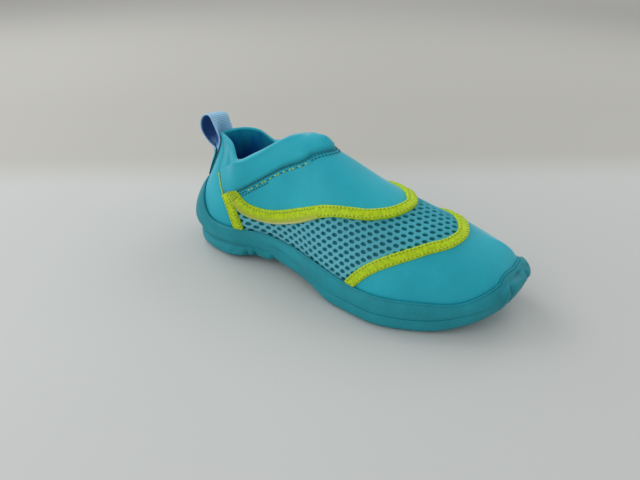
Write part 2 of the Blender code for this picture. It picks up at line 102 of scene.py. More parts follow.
# The top line from the throat to the toe, its height as a share of the instep's
ridgeRows = [
    # x, y, height
    (0.371, 0.039, 0.978),
    (0.475, 0.064, 0.882),
    (0.580, 0.093, 0.760),
    (0.690, 0.128, 0.662),
    (0.790, 0.198, 0.588),
    (0.870, 0.257, 0.518),
    (0.915, 0.280, 0.492),
]
# How each section bulges above the sole, and how it meets the collar or the top line
sectionRows = [
    # swell, rise, reach, drop, pitch
    (0.140, 0.36, 0.00, 0.30, 0.0),
    (0.185, 0.36, 0.00, 0.30, 0.0),
    (0.165, 0.36, 0.00, 0.30, 0.0),
    (0.065, 0.36, 0.02, 0.32, 0.0),
    (0.055, 0.38, 0.14, 0.26, 0.3),
    (0.050, 0.40, 0.34, 0.12, 0.8),
    (0.050, 0.42, 0.44, 0.00, 1.0),
    (0.060, 0.44, 0.44, 0.00, 1.0),
    (0.070, 0.46, 0.44, 0.00, 1.0),
    (0.080, 0.48, 0.44, 0.00, 1.0),
    (0.090, 0.52, 0.44, 0.00, 1.0),
    (0.100, 0.58, 0.46, 0.00, 1.0),
    (0.120, 0.60, 0.48, 0.00, 1.0),
]


def rowsAt(rows, position, closed=False):
    # Every column follows one smooth curve through the rows
    table = np.asarray(rows, float)
    position = np.asarray(position, float)
    start = np.floor(position).astype(int)
    if closed:
        index = [(start + k) % len(table) for k in (-1, 0, 1, 2)]
    else:
        start = np.clip(start, 0, len(table) - 2)
        table = np.vstack([2 * table[0] - table[1], table, 2 * table[-1] - table[-2]])
        index = [start + k for k in range(4)]
    a, b, c, d = (table[i] for i in index)
    part = (position - start)[..., None]
    bend = (2 * a - 5 * b + 4 * c - d) * part + (3 * (b - c) + d - a) * part * part
    return b + 0.5 * part * ((c - a) + bend)


def ease(value):
    value = np.clip(value, 0.0, 1.0)
    return value * value * (3 - 2 * value)


def unit(vectors):
    return vectors / np.maximum(np.linalg.norm(vectors, axis=-1, keepdims=True), 1e-12)


def allRound(rows, outer, inner):
    return [outer(r) for r in rows] + [inner(r) for r in rows[1:-1]][::-1]


def place(xShare, yShare, height=0.0):
    x = (np.asarray(xShare) - 0.5) * soleLength
    y = np.asarray(yShare) * ballWidth / 2
    return np.stack(np.broadcast_arrays(x, y, height), axis=-1).astype(float)


soleRing = allRound(soleRows, lambda r: (r[0], r[1], *r[4:]), lambda r: (r[2], r[3], *r[4:]))
sectionRing = allRound(sectionRows, lambda r: r, lambda r: r)
collarRing = allRound(collarRows, lambda r: (r[0], r[1], *r[3:]), lambda r: (r[0], r[2], *r[3:]))


# Places along the sole as shares of its length, and how sharply it bends up to the toe
soleProfile = {
    "heelRound": 0.045,
    "archFrom": 0.285,
    "archUpOver": 0.05,
    "archTo": 0.47,
    "archDownOver": 0.09,
    "toeFrom": 0.78,
    "toeBend": 2.2,
    "thinFrom": 0.30,
    "thinOver": 0.35,
    "bedToeFrom": 0.76,
    "bedToeBend": 1.6,
}


def toeRise(share, start, bend):
    return np.maximum(0.0, (share - start) / (1 - start)) ** bend


def floorHeight(x):
    share = x / soleLength + 0.5
    back = np.maximum(0.0, (soleProfile["heelRound"] - share) / soleProfile["heelRound"])
    archUp = ease((share - soleProfile["archFrom"]) / soleProfile["archUpOver"])
    archDown = ease((share - soleProfile["archTo"]) / soleProfile["archDownOver"])
    toe = toeRise(share, soleProfile["toeFrom"], soleProfile["toeBend"])
    return edgeRound * back**2 + archRise * archUp * (1 - archDown) + toeSpring * toe


def footbedHeight(x):
    share = x / soleLength + 0.5
    thinner = ease((share - soleProfile["thinFrom"]) / soleProfile["thinOver"])
    toe = toeRise(share, soleProfile["bedToeFrom"], soleProfile["bedToeBend"])
    return heelThickness + (forefootThickness - heelThickness) * thinner + footbedSpring * toe


def soleEdge(q, inset=0.0):
    # The sole's outline at ring position q, moved inwards
    step = 0.02
    ring = [rowsAt(soleRing, q + k, closed=True) for k in (-step, 0, step)]
    before, here, after = (place(r[..., 0], r[..., 1]) for r in ring)
    along = unit(after - before)
    inwards = np.stack([-along[..., 1], along[..., 0], 0 * along[..., 0]], axis=-1)
    return here + inwards * np.asarray(inset)[..., None]


def wallTop(q):
    ring = rowsAt(soleRing, q, closed=True)
    heelRise = ring[..., 2] * (heelBumperHeight - sideWallHeight)
    frontRise = ring[..., 3] * (toeBumperHeight - sideWallHeight)
    return sideWallHeight + heelRise + frontRise


def stationOf(q):
    # How far from heel to toe, 0 to 12, on either side of the shoe
    q = np.asarray(q) % fullRound
    return np.where(q <= lastRow, q, fullRound - q)


def evenRing(steps):
    return np.arange(steps) * fullRound / steps


def ridgePoint(station):
    ridge = rowsAt(ridgeRows, np.asarray(station) - throatRow)
    return place(ridge[..., 0], ridge[..., 1], ridge[..., 2] * instepHeight)


def crownPoint(q):
    # Where a section ends: on the collar behind the throat, on the top line ahead of it
    q = np.asarray(q, float) % fullRound
    station = stationOf(q)
    collar = rowsAt(collarRing, np.where(q <= lastRow, q, 2 * throatRow - station), closed=True)
    onCollar = place(collar[..., 0], collar[..., 1],
                     collar[..., 2] * heelRimHeight + collar[..., 3] * instepHeight)
    return np.where((station >= throatRow)[..., None], ridgePoint(station), onCollar)


def sectionHandles(q):
    # The four points that bend each section: its foot on the sole, two handles and its crown
    q = np.asarray(q, float)
    foot = soleEdge(q, soleEdgeWidth)
    foot[..., 2] = footbedHeight(foot[..., 0]) + 2 * gap
    crown = crownPoint(q)
    swell, rise, reach, drop, pitch = np.moveaxis(rowsAt(sectionRing, q, closed=True), -1, 0)
    height = crown[..., 2] - foot[..., 2]
    outwards = foot - soleEdge(q, soleEdgeWidth + 0.001)
    outwards[..., 2] = 0
    outwards = unit(outwards)
    span = foot - crown
    span[..., 2] = 0
    low = foot + outwards * (swell * height)[..., None]
    low[..., 2] += rise * height
    high = crown + span * reach[..., None]
    high[..., 2] -= drop * height
    station = np.maximum(stationOf(q), throatRow)
    ahead = ridgePoint(np.minimum(station + 0.05, lastRow))
    behind = ridgePoint(np.maximum(station - 0.05, throatRow))
    slope = (ahead[..., 2] - behind[..., 2]) / (ahead[..., 0] - behind[..., 0])
    high[..., 2] += pitch * slope * (high[..., 0] - crown[..., 0])
    return foot, low, high, crown


def bezier(foot, low, high, crown, v):
    u = 1 - v
    return foot * u**3 + low * 3 * u * u * v + high * 3 * u * v * v + crown * v**3


def onUpper(q, v):
    # A point of the upper's outer face: v is 0 at the sole, 1 at the collar or top line, and more past it
    q, v = np.broadcast_arrays(np.asarray(q, float), np.asarray(v, float))
    over = v > 1
    q, v = np.where(over, fullRound - q, q), np.where(over, 2 - v, v)
    return bezier(*sectionHandles(q), v[..., None])


def normalOnUpper(q, v):
    q, v = np.broadcast_arrays(np.asarray(q, float), np.asarray(v, float))
    step = 0.02
    top = np.where(stationOf(q) >= throatRow, v + step, np.minimum(v + step, 1))
    around = onUpper(q + step, v) - onUpper(q - step, v)
    upwards = onUpper(q, top) - onUpper(q, np.maximum(v - step, 0))
    return unit(np.cross(upwards, around)) * np.where(v <= 1, -1.0, 1.0)[..., None]


def ringPlace(station, across):
    # across is 0 at the outer side's sole, 1 on the top line and 2 at the inner side's sole
    over = across > 1
    return np.where(over, fullRound - station, station), np.where(over, 2 - across, across)


def skin(q, v, offset=None):
    # Points of the upper's outer face, or at a distance off it
    q, v = np.broadcast_arrays(np.asarray(q, float), np.asarray(v, float))
    v = np.where(stationOf(q) < throatRow, np.minimum(v, 1), v)
    points = onUpper(q, v)
    if offset is not None:
        points = points + normalOnUpper(q, v) * np.asarray(offset)[..., None]
    return points


def nearestPlace(point, station, across):
    # The places on the upper nearest to some points, from a first guess
    step = 0.01
    for _ in range(6):
        here = skin(*ringPlace(station, across))
        byStation = (skin(*ringPlace(station + step, across)) - here) / step
        byAcross = (skin(*ringPlace(station, across + step)) - here) / step
        miss = point - here
        ss, sa, aa = (byStation**2).sum(-1), (byStation * byAcross).sum(-1), (byAcross**2).sum(-1)
        ds, da = (byStation * miss).sum(-1), (byAcross * miss).sum(-1)
        scale = ss * aa - sa * sa
        station = station + np.clip((ds * aa - da * sa) / scale, -0.3, 0.3)
        across = across + np.clip((da * ss - ds * sa) / scale, -0.1, 0.1)
    return station, across


def vAtHeight(q, height):
    heights = [handle[..., 2] for handle in sectionHandles(q)]
    low, high = np.zeros_like(q, float), np.ones_like(q, float)
    for _ in range(20):
        middle = (low + high) / 2
        under = bezier(*heights, middle) < height
        low, high = np.where(under, middle, low), np.where(under, high, middle)
    return low


# Meshes

def linked(name, data):
    made = bpy.data.objects.new(name, data)
    bpy.context.scene.collection.objects.link(made)
    return made


def newObject(name, bm, material, smoothAngle):
    # A named piece, shaded smooth but for edges sharper than the angle
    mesh = bpy.data.meshes.new(name)
    bm.to_mesh(mesh)
    bm.free()
    mesh.materials.append(material)
    mesh.shade_smooth()
    mesh.set_sharp_from_angle(angle=math.radians(smoothAngle))
    return linked(name, mesh)


def addGrid(bm, points, marks=None):
    # A grid of quads moved onto points, rows by columns. marks gives layers of the bmesh their values.
    rows, columns = points.shape[:2]
    made = bmesh.ops.create_grid(bm, x_segments=columns - 1, y_segments=rows - 1, size=1)["verts"]
    for vert, point in zip(made, points.reshape(-1, 3)):
        vert.co = point
    for layer, values in (marks or {}).items():
        for vert, value in zip(made, np.asarray(values, float).reshape(-1)):
            vert[layer] = value
    return made


def closeSeams(bm, reach=1e-6, fill=False):
    # Merges points that meet and turns the faces outwards, after filling open ends where asked
    bmesh.ops.remove_doubles(bm, verts=bm.verts, dist=reach)
    if fill:
        bmesh.ops.holes_fill(bm, edges=[edge for edge in bm.edges if edge.is_boundary], sides=0)
    bmesh.ops.recalc_face_normals(bm, faces=bm.faces)


def closeRound(points):
    # Repeats the first row of a grid after its last
    return np.concatenate([points, points[:1]], axis=0)


# Lines on the upper

def softened(line, spread):
    # The line without its small waves, its ends where they were
    reach = int(spread * 2.5)
    before, after = 2 * line[0] - line[reach:0:-1], 2 * line[-1] - line[-2:-reach - 2:-1]
    longer = np.concatenate([before, line, after])
    weights = np.exp(-(np.arange(-reach, reach + 1) / spread) ** 2 / 2)
    return sum(longer[k:k + len(line)] * weight for k, weight in enumerate(weights / weights.sum()))


def pathOnUpper(rows, count, spread=0):
    # Evenly numbered points of a smooth line through (station, across) rows, with the places they lie on
    table = np.asarray(rows, float)
    knots = skin(*ringPlace(table[:, 0], table[:, 1]))
    t = np.linspace(0, len(rows) - 1, count)
    line = rowsAt(knots, t)
    if spread:
        line = softened(line, spread)
    guess = rowsAt(table, t)
    station, across = nearestPlace(line, guess[:, 0], guess[:, 1])
    q, v = ringPlace(station, across)
    line = skin(q, v)
    along = unit(np.gradient(line, axis=0))
    normal = normalOnUpper(q, v)
    return {"line": line, "station": station, "across": across, "along": along, "normal": normal,
            "aside": unit(np.cross(normal, along)), "length": runLength(line)}


def runLength(line):
    steps = np.linalg.norm(np.diff(line, axis=0), axis=1)
    return np.concatenate([[0], np.cumsum(steps)])


collarSag = {
    "middle": -0.034,
    "halfLength": 0.011,
    "depth": 0.0036,
    "innerFrom": 0.003,
    "innerOver": 0.008,
    "lowest": 0.066,
    "highOver": 0.010,
}


def sagged(points):
    # The collar's inner side hangs a little lower behind the throat
    along = np.exp(-((points[..., 0] - collarSag["middle"]) / collarSag["halfLength"]) ** 2)
    inner = ease((points[..., 1] - collarSag["innerFrom"]) / collarSag["innerOver"])
    high = ease((points[..., 2] - collarSag["lowest"]) / collarSag["highOver"])
    settled = points.copy()
    settled[..., 2] -= collarSag["depth"] * along * inner * high
    return settled


def fieldOf(points, line, batch=20000):
    # Distance of each point to the nearest point of a line, and how far along the line that is from 0 to 1
    flat = points.reshape(-1, 3)
    near = np.empty(len(flat))
    where = np.empty(len(flat), int)
    for start in range(0, len(flat), batch):
        part = slice(start, start + batch)
        squares = ((flat[part, None, :] - line[None]) ** 2).sum(-1)
        where[part] = squares.argmin(1)
        near[part] = np.sqrt(squares.min(1))
    shape = points.shape[:-1]
    return near.reshape(shape), (where / (len(line) - 1)).reshape(shape)


# The lines of tapes, cuff and heel seams, as stations along the shoe and places across it
vampTapeRows = [
    # station, across
    (2.86, 0.628), (3.27, 0.497), (3.58, 0.410), (4.25, 0.332), (5.05, 0.353), (5.72, 0.402), (6.34, 0.470),
    (7.01, 0.542), (7.59, 0.610), (7.88, 0.653), (8.24, 0.712), (8.52, 0.779), (8.82, 0.891),
    (8.92, 0.966), (8.82, 1.040), (8.42, 1.175), (8.02, 1.268), (7.55, 1.365), (6.90, 1.475),
    (6.30, 1.545), (5.72, 1.598), (5.05, 1.647), (4.25, 1.668), (3.58, 1.590), (3.27, 1.503), (2.86, 1.372),
]
toeTapeRows = [
    (7.04, 0.118), (7.42, 0.230), (8.02, 0.356), (8.82, 0.491), (9.24, 0.569), (9.59, 0.620),
    (9.91, 0.695), (10.20, 0.803), (10.35, 0.935), (10.04, 1.127), (9.65, 1.235), (9.15, 1.370),
    (8.60, 1.485), (8.05, 1.620), (7.50, 1.790), (7.24, 1.895),
]
heelTapeRows = [(2.50, 0.545), (2.80, 0.465), (3.00, 0.355), (3.20, 0.200), (3.25, 0.110)]
cuffRows = [
    # highStation, highAcross, lowStation, lowAcross
    (1.80, 0.660, 2.42, 0.540),
    (2.40, 0.830, 2.80, 0.595),
    (3.00, 1.000, 3.25, 0.652),
    (3.80, 1.000, 4.00, 0.693),
    (4.60, 1.000, 4.80, 0.706),
    (5.30, 1.000, 5.55, 0.724),
    (5.70, 1.000, 6.11, 0.787),
    (5.90, 1.000, 6.58, 0.909),
    (6.00, 1.000, 6.82, 1.000),
]
heelSeamRows = [
    (1.10, 1.000), (1.52, 0.720), (1.78, 0.630), (2.30, 0.535), (2.62, 0.440), (2.95, 0.230), (3.02, 0.130),
]


def otherSide(rows):
    return [(station, 2 - across) for station, across in rows]


vampPath = pathOnUpper(vampTapeRows, 321, spread=5)
toePath = pathOnUpper(toeTapeRows, 241, spread=7)
heelPaths = {"outer": pathOnUpper(heelTapeRows, 41), "inner": pathOnUpper(otherSide(heelTapeRows), 41)}
heelSeams = [pathOnUpper(heelSeamRows, 60), pathOnUpper(otherSide(heelSeamRows), 60)]
windowPaths = [vampPath, toePath, *heelPaths.values()]


def nearWindowEdge(points):
    # The distance to the nearest line of tape round the mesh window
    return np.min([fieldOf(points, path["line"])[0] for path in windowPaths], axis=0)


def acrossOfPath(path, station, high):
    # How far across the upper a line lies at each station, on the side below the top line or above it
    onSide = path["across"] > 1 if high else path["across"] <= 1
    stations, acrosses = path["station"][onSide], path["across"][onSide]
    order = np.argsort(stations)
    return np.interp(station, stations[order], acrosses[order]), stations.min(), stations.max()


def insideWindow(station, across):
    # Whether places lie in the mesh window, between the vamp, toe and heel tapes
    inside = np.zeros(np.shape(station), bool)
    for high in (False, True):
        side = across > 1 if high else across <= 1
        vamp, _, vampFront = acrossOfPath(vampPath, station, high)
        toe, toeRear, toeFront = acrossOfPath(toePath, station, high)
        heel, heelRear, heelFront = acrossOfPath(heelPaths["inner" if high else "outer"], station, high)
        below = (lambda a, b: a > b) if high else (lambda a, b: a < b)
        behindToe = np.where(station > toeRear, below(toe, across), True) & (station < toeFront)
        underVamp = np.where(station < vampFront, below(across, vamp), True)
        aheadHeel = np.where(station < heelFront, below(heel, across), True) & (station > heelRear)
        inside |= side & behindToe & underVamp & aheadHeel
    return inside


print("shape ready")


# Materials. Every one is made of nodes that read Object coordinates, a UV map or a vertex attribute.

def newMaterial(name):
    made = bpy.data.materials.new(name)
    made.use_nodes = True
    return made, made.node_tree.nodes, made.node_tree.links, made.node_tree.nodes["Principled BSDF"]


def noiseNode(nodes, links, scale, detail):
    coordinates = nodes.new("ShaderNodeTexCoord")
    noise = nodes.new("ShaderNodeTexNoise")
    noise.inputs["Scale"].default_value = scale
    noise.inputs["Detail"].default_value = detail
    links.new(coordinates.outputs["Object"], noise.inputs["Vector"])
    return noise.outputs["Fac"]


def rampNode(nodes, links, source, stops):
    ramp = nodes.new("ShaderNodeValToRGB")
    while len(ramp.color_ramp.elements) < len(stops):
        ramp.color_ramp.elements.new(0.5)
    for element, (position, colour) in zip(ramp.color_ramp.elements, stops):
        element.position = position
        element.color = (*colour, 1)
    links.new(source, ramp.inputs["Fac"])
    return ramp.outputs["Color"]


def mixNode(nodes, links, factor, first, second, blend="MIX"):
    mix = nodes.new("ShaderNodeMix")
    mix.data_type = "RGBA"
    mix.blend_type = blend
    for socket, value in ((mix.inputs[0], factor), (mix.inputs[6], first), (mix.inputs[7], second)):
        if isinstance(value, bpy.types.NodeSocket):
            links.new(value, socket)
        elif isinstance(value, (int, float)):
            socket.default_value = value
        else:
            socket.default_value = (*value, 1)
    return mix.outputs[2]


def bumpNode(nodes, links, height, strength, distance, after=None):
    bump = nodes.new("ShaderNodeBump")
    bump.inputs["Strength"].default_value = strength
    bump.inputs["Distance"].default_value = distance
    links.new(height, bump.inputs["Height"])
    if after:
        links.new(after, bump.inputs["Normal"])
    return bump.outputs["Normal"]


def attributeNode(nodes, name):
    node = nodes.new("ShaderNodeAttribute")
    node.attribute_name = name
    return node.outputs["Fac"]


def specked(nodes, links, colour, grain, low, high):
    # The colour made a little darker and lighter by a grain. low and high pair its value with a shade.
    shades = rampNode(nodes, links, grain, [(position, (shade,) * 3) for position, shade in (low, high)])
    return mixNode(nodes, links, 1.0, colour, shades, "MULTIPLY")


colours = {
    "neopreneLow": (0.008, 0.410, 0.530),
    "neopreneHigh": (0.016, 0.490, 0.620),
    "seamShadow": (0.001, 0.110, 0.160),
    # Painted shade on the window's sunk backing under the mesh
    "windowBedShade": (0.000, 0.185, 0.240),
    "meshLow": (0.030, 0.360, 0.470),
    "meshHigh": (0.060, 0.500, 0.610),
    "meshPale": (0.230, 0.600, 0.680),
    # Painted shade down the walls of the mesh's holes
    "meshPitShade": (0.000, 0.250, 0.310),
    "liningDark": (0.000, 0.185, 0.520),
    "liningMid": (0.000, 0.260, 0.450),
    "liningLight": (0.001, 0.370, 0.480),
    "soleLow": (0.005, 0.250, 0.310),
    "soleHigh": (0.012, 0.340, 0.420),
    "soleHollowShade": (0.002, 0.120, 0.160),
    "limeLow": (0.390, 0.590, 0.003),
    "limeHigh": (0.580, 0.780, 0.010),
    "limeOliveShade": (0.450, 0.500, 0.070),
    "limePale": (0.700, 0.700, 0.480),
    "limeThread": (0.800, 0.900, 0.060),
    "oliveThread": (0.160, 0.270, 0.003),
    "webbingLow": (0.250, 0.550, 0.860),
    "webbingHigh": (0.500, 0.780, 0.980),
    "webbingInsideShade": (0.004, 0.085, 0.330),
    "insole": (0.002, 0.030, 0.070),
    "tealThreadLow": (0.001, 0.110, 0.155),
    "tealThreadHigh": (0.004, 0.230, 0.300),
    "floorLow": (0.590, 0.610, 0.595),
    "floorHigh": (0.630, 0.650, 0.635),
    "backdropNear": (0.520, 0.515, 0.475),
    "backdropFar": (0.735, 0.730, 0.697),
}


def clothMaterial(name, low, high, grain=1500, bump=0.12, roughness=0.60, sheen=0.36, masks=()):
    # Stretch cloth: a fine knit grain, slow changes of shade and a soft sheen. masks pairs attributes with
    # the colours they bring in.
    made, nodes, links, shader = newMaterial(name)
    slow = noiseNode(nodes, links, 38, 4)
    colour = rampNode(nodes, links, slow, [(0.30, low), (0.72, high)])
    knit = noiseNode(nodes, links, grain, 2)
    colour = specked(nodes, links, colour, knit, (0.25, 0.93), (0.75, 1.05))
    for attribute, tint in masks:
        colour = mixNode(nodes, links, attributeNode(nodes, attribute), colour, tint)
    links.new(colour, shader.inputs["Base Color"])
    shader.inputs["Roughness"].default_value = roughness
    shader.inputs["Sheen Weight"].default_value = sheen
    shader.inputs["Sheen Roughness"].default_value = 0.40
    shader.inputs["Specular IOR Level"].default_value = 0.35
    rough = bumpNode(nodes, links, knit, bump, 0.0003)
    links.new(bumpNode(nodes, links, slow, 0.12, 0.0012, rough), shader.inputs["Normal"])
    return made


def rubberMaterial():
    # Moulded rubber: teal with faint clouds, fine pits and a dull gloss, with painted shade in its hollows
    made, nodes, links, shader = newMaterial("soleRubber")
    cloud = noiseNode(nodes, links, 55, 5)
    colour = rampNode(nodes, links, cloud, [(0.28, colours["soleLow"]), (0.74, colours["soleHigh"])])
    pits = noiseNode(nodes, links, 900, 3)
    colour = specked(nodes, links, colour, pits, (0.2, 0.90), (0.8, 1.06))
    colour = mixNode(nodes, links, attributeNode(nodes, "hollowShade"), colour, colours["soleHollowShade"])
    links.new(colour, shader.inputs["Base Color"])
    links.new(rampNode(nodes, links, cloud, [(0.2, (0.44, 0.44, 0.44)), (0.8, (0.60, 0.60, 0.60))]),
              shader.inputs["Roughness"])
    shader.inputs["Specular IOR Level"].default_value = 0.35
    links.new(bumpNode(nodes, links, pits, 0.10, 0.0003), shader.inputs["Normal"])
    return made


def tapeMaterial():
    # Bound tape: mottled lime with a fine weave, painted olive as shade with a pale edge on its rear parts,
    # and a slight gloss
    made, nodes, links, shader = newMaterial("limeTape")
    patch = noiseNode(nodes, links, 520, 3)
    colour = rampNode(nodes, links, patch, [(0.34, colours["limeLow"]), (0.60, colours["limeHigh"])])
    weave = noiseNode(nodes, links, 2200, 2)
    speck = rampNode(nodes, links, weave, [(0.3, (0.84, 0.86, 0.70)), (0.7, (1.10, 1.10, 1.10))])
    colour = mixNode(nodes, links, 1.0, colour, speck, "MULTIPLY")
    colour = mixNode(nodes, links, attributeNode(nodes, "shade"), colour, colours["limeOliveShade"])
    colour = mixNode(nodes, links, attributeNode(nodes, "pale"), colour, colours["limePale"])
    links.new(colour, shader.inputs["Base Color"])
    shader.inputs["Roughness"].default_value = 0.50
    shader.inputs["Specular IOR Level"].default_value = 0.30
    links.new(bumpNode(nodes, links, weave, 0.25, 0.0003), shader.inputs["Normal"])
    return made


def webbingMaterial():
    # Ribbed webbing: ribs across the strap from the UV map in metres, with a fine grain over them
    made, nodes, links, shader = newMaterial("webbing")
    layout = nodes.new("ShaderNodeUVMap")
    layout.uv_map = "cloth"
    ribs = nodes.new("ShaderNodeTexWave")
    ribs.bands_direction = "Y"
    ribs.inputs["Scale"].default_value = 300
    ribs.inputs["Distortion"].default_value = 1.2
    ribs.inputs["Detail"].default_value = 2
    links.new(layout.outputs["UV"], ribs.inputs["Vector"])
    grain = noiseNode(nodes, links, 2200, 2)
    height = mixNode(nodes, links, 0.35, ribs.outputs["Color"], grain)
    colour = rampNode(nodes, links, height, [(0.25, colours["webbingLow"]), (0.75, colours["webbingHigh"])])
    # Painted shade: the shade mask darkens the loop's inside
    colour = mixNode(nodes, links, attributeNode(nodes, "shade"), colour, colours["webbingInsideShade"])
    colour = mixNode(nodes, links, attributeNode(nodes, "cover"), colour, colours["neopreneLow"])
    links.new(colour, shader.inputs["Base Color"])
    shader.inputs["Roughness"].default_value = 0.75
    shader.inputs["Specular IOR Level"].default_value = 0.25
    links.new(bumpNode(nodes, links, height, 0.5, 0.0005), shader.inputs["Normal"])
    return made


def threadMaterial(name, low, high):
    made, nodes, links, shader = newMaterial(name)
    twist = noiseNode(nodes, links, 1800, 2)
    links.new(rampNode(nodes, links, twist, [(0.3, low), (0.7, high)]), shader.inputs["Base Color"])
    shader.inputs["Roughness"].default_value = 0.5
    links.new(bumpNode(nodes, links, twist, 0.3, 0.0002), shader.inputs["Normal"])
    return made


# The bed mask paints shade on the window's backing and the seam mask paints shade in the seams
neoprene = clothMaterial("neoprene", colours["neopreneLow"], colours["neopreneHigh"],
                         masks=[("bed", colours["windowBedShade"]), ("seam", colours["seamShadow"])])
cuffCloth = clothMaterial("cuffCloth", colours["neopreneLow"], colours["neopreneHigh"],
                          masks=[("seam", colours["seamShadow"]), ("inside", colours["liningLight"])])
# The deep mask paints the lining darker lower down inside the shoe as shade
liningCloth = clothMaterial("liningCloth", colours["liningMid"], colours["liningLight"], grain=1100,
                            roughness=0.85, sheen=0.0, masks=[("deep", colours["liningDark"])])
meshCloth = clothMaterial("meshCloth", colours["meshLow"], colours["meshHigh"], grain=2400, bump=0.3,
                          roughness=0.60, sheen=0.08,
                          masks=[("pale", colours["meshPale"]), ("pitShade", colours["meshPitShade"])])
insoleCloth = clothMaterial("insoleCloth", colours["insole"], colours["liningDark"], grain=1200,
                            roughness=0.85)
soleRubber = rubberMaterial()
limeTape = tapeMaterial()
webbingCloth = webbingMaterial()
limeThread = threadMaterial("limeThread", colours["limeLow"], colours["limeThread"])
oliveThread = threadMaterial("oliveThread", colours["oliveThread"], colours["limeLow"])
tealThread = threadMaterial("tealThread", colours["tealThreadLow"], colours["tealThreadHigh"])
print("materials ready")


# Upper: one hollow shell, its window sunk for the mesh, with seams and soft folds pressed in

upperForm = {
    "ringSteps": 360,
    "sideSteps": 66,
    "insideSteps": 26,
    "rimSteps": 6,
    "windowDepth": 0.0014,
    "windowSlope": 0.0016,
    "seamDepth": 0.0007,
    "seamWidth": 0.0011,
    "insideEnd": 0.04,
    "seamShadeShare": 0.35,
    "rimFlatness": 0.8,
    "deepFrom": 0.985,
    "deepOver": 0.26,
    "wrinkleDepth": 0.0012,
}
# Soft folds: where each starts and ends on the upper, its depth (a ridge below 0) and its half width
foldRows = [
    # station, across, station, across, depth, width
    (1.42, 0.985, 1.80, 0.700, 0.0009, 0.0038),
    (1.90, 1.000, 2.02, 0.720, -0.0011, 0.0046),
    (2.36, 0.960, 2.20, 0.740, 0.0009, 0.0034),
    (2.75, 0.980, 2.50, 0.800, -0.0005, 0.0044),
    (1.42, 1.020, 1.80, 1.300, 0.0006, 0.0040),
    (2.10, 1.020, 2.20, 1.280, -0.0007, 0.0046),
]


def foldDepth(points):
    depth = np.zeros(points.shape[:-1])
    for startStation, startAcross, endStation, endAcross, deep, width in foldRows:
        fold = pathOnUpper([(startStation, startAcross), (endStation, endAcross)], 24)
        near, along = fieldOf(points, fold["line"])
        depth += deep * np.exp(-(near / width) ** 2) * np.sin(np.pi * np.clip(along, 0.04, 0.96))
    return depth


def upperGrid(levels):
    # Ring places and heights of the shell's points. Both sides meet on the top line.
    q, v = np.meshgrid(evenRing(upperForm["ringSteps"]), levels, indexing="ij")
    station = stationOf(q)
    return np.where((v == 1) & (station >= throatRow), station, q), v


def outerFace():
    # The shell's outer points, with how deep each lies in the window's bed and in a seam
    q, v = upperGrid(np.linspace(0, 1, upperForm["sideSteps"] + 1))
    outside = onUpper(q, v)
    across = np.where(q % fullRound > lastRow, 2 - v, v)
    inWindow = insideWindow(stationOf(q), across)
    bed = np.where(inWindow, ease(nearWindowEdge(outside) / upperForm["windowSlope"]), 0.0)
    seam = np.zeros(v.shape)
    for path in heelSeams:
        distance, _ = fieldOf(outside, path["line"])
        seam = np.maximum(seam, np.exp(-(distance / upperForm["seamWidth"]) ** 2))
    sunk = bed * upperForm["windowDepth"] + seam * upperForm["seamDepth"] + foldDepth(outside)
    return outside - normalOnUpper(q, v) * sunk[..., None], bed, seam


def collarRim():
    # The rounded edge between the shell's outer and inner face, round the collar
    q = evenRing(upperForm["ringSteps"])
    rim = q[stationOf(q) <= throatRow + 0.01]
    rim = np.concatenate([rim[rim > lastRow] - fullRound, rim[rim <= lastRow]])
    turn = np.linspace(0, math.pi, upperForm["rimSteps"] + 1)
    top, normal = onUpper(rim, 1.0), normalOnUpper(rim, 1.0)
    upwards = unit(onUpper(rim, 1.0) - onUpper(rim, 0.98))
    half = upperWall / 2
    roll = (top - normal * half)[:, None] + normal[:, None] * (half * np.cos(turn))[None, :, None]
    return roll + upwards[:, None] * (half * upperForm["rimFlatness"] * np.sin(turn))[None, :, None]


def makeShell():
    outside, bed, seam = outerFace()
    bm = bmesh.new()
    bedLayer = bm.verts.layers.float.new("bed")
    seamLayer = bm.verts.layers.float.new("seam")
    # The seam layer paints shade into the heel seams
    marks = {bedLayer: closeRound(bed), seamLayer: closeRound(seam * upperForm["seamShadeShare"])}
    addGrid(bm, closeRound(sagged(outside)), marks)
    addGrid(bm, sagged(collarRim()))
    closeSeams(bm)
    return newObject("upper_shell", bm, neoprene, 60)


def makeLining():
    # The lining is teal by the rim and painted darker below as shade, with soft wrinkles between
    q, v = upperGrid(np.linspace(1, upperForm["insideEnd"], upperForm["insideSteps"] + 1))
    normals = normalOnUpper(q, v)
    wrinkle = 0.10 * np.sin(q * 5.1 + v * 9) + 0.07 * np.sin(q * 11.3 - v * 14)
    # deep paints the lining darker lower down as shade, its edge wavering with the wrinkles
    deep = ease((upperForm["deepFrom"] + wrinkle - v) / upperForm["deepOver"])
    raised = upperForm["wrinkleDepth"] * wrinkle * ease((1 - v) / 0.08) - upperWall
    face = sagged(onUpper(q, v) + normals * raised[..., None])
    bm = bmesh.new()
    deepLayer = bm.verts.layers.float.new("deep")
    addGrid(bm, closeRound(face), {deepLayer: closeRound(deep)})
    closeSeams(bm)
    return newObject("upper_lining", bm, liningCloth, 60)


upperShell = makeShell()
upperLining = makeLining()
print("upper ready")


# Mesh window: knitted strands round holes, on a slanted lattice given in metres on the flat cloth. On the
# cloth the first coordinate is X and the second the arc down from the top line, minus on the inner side.

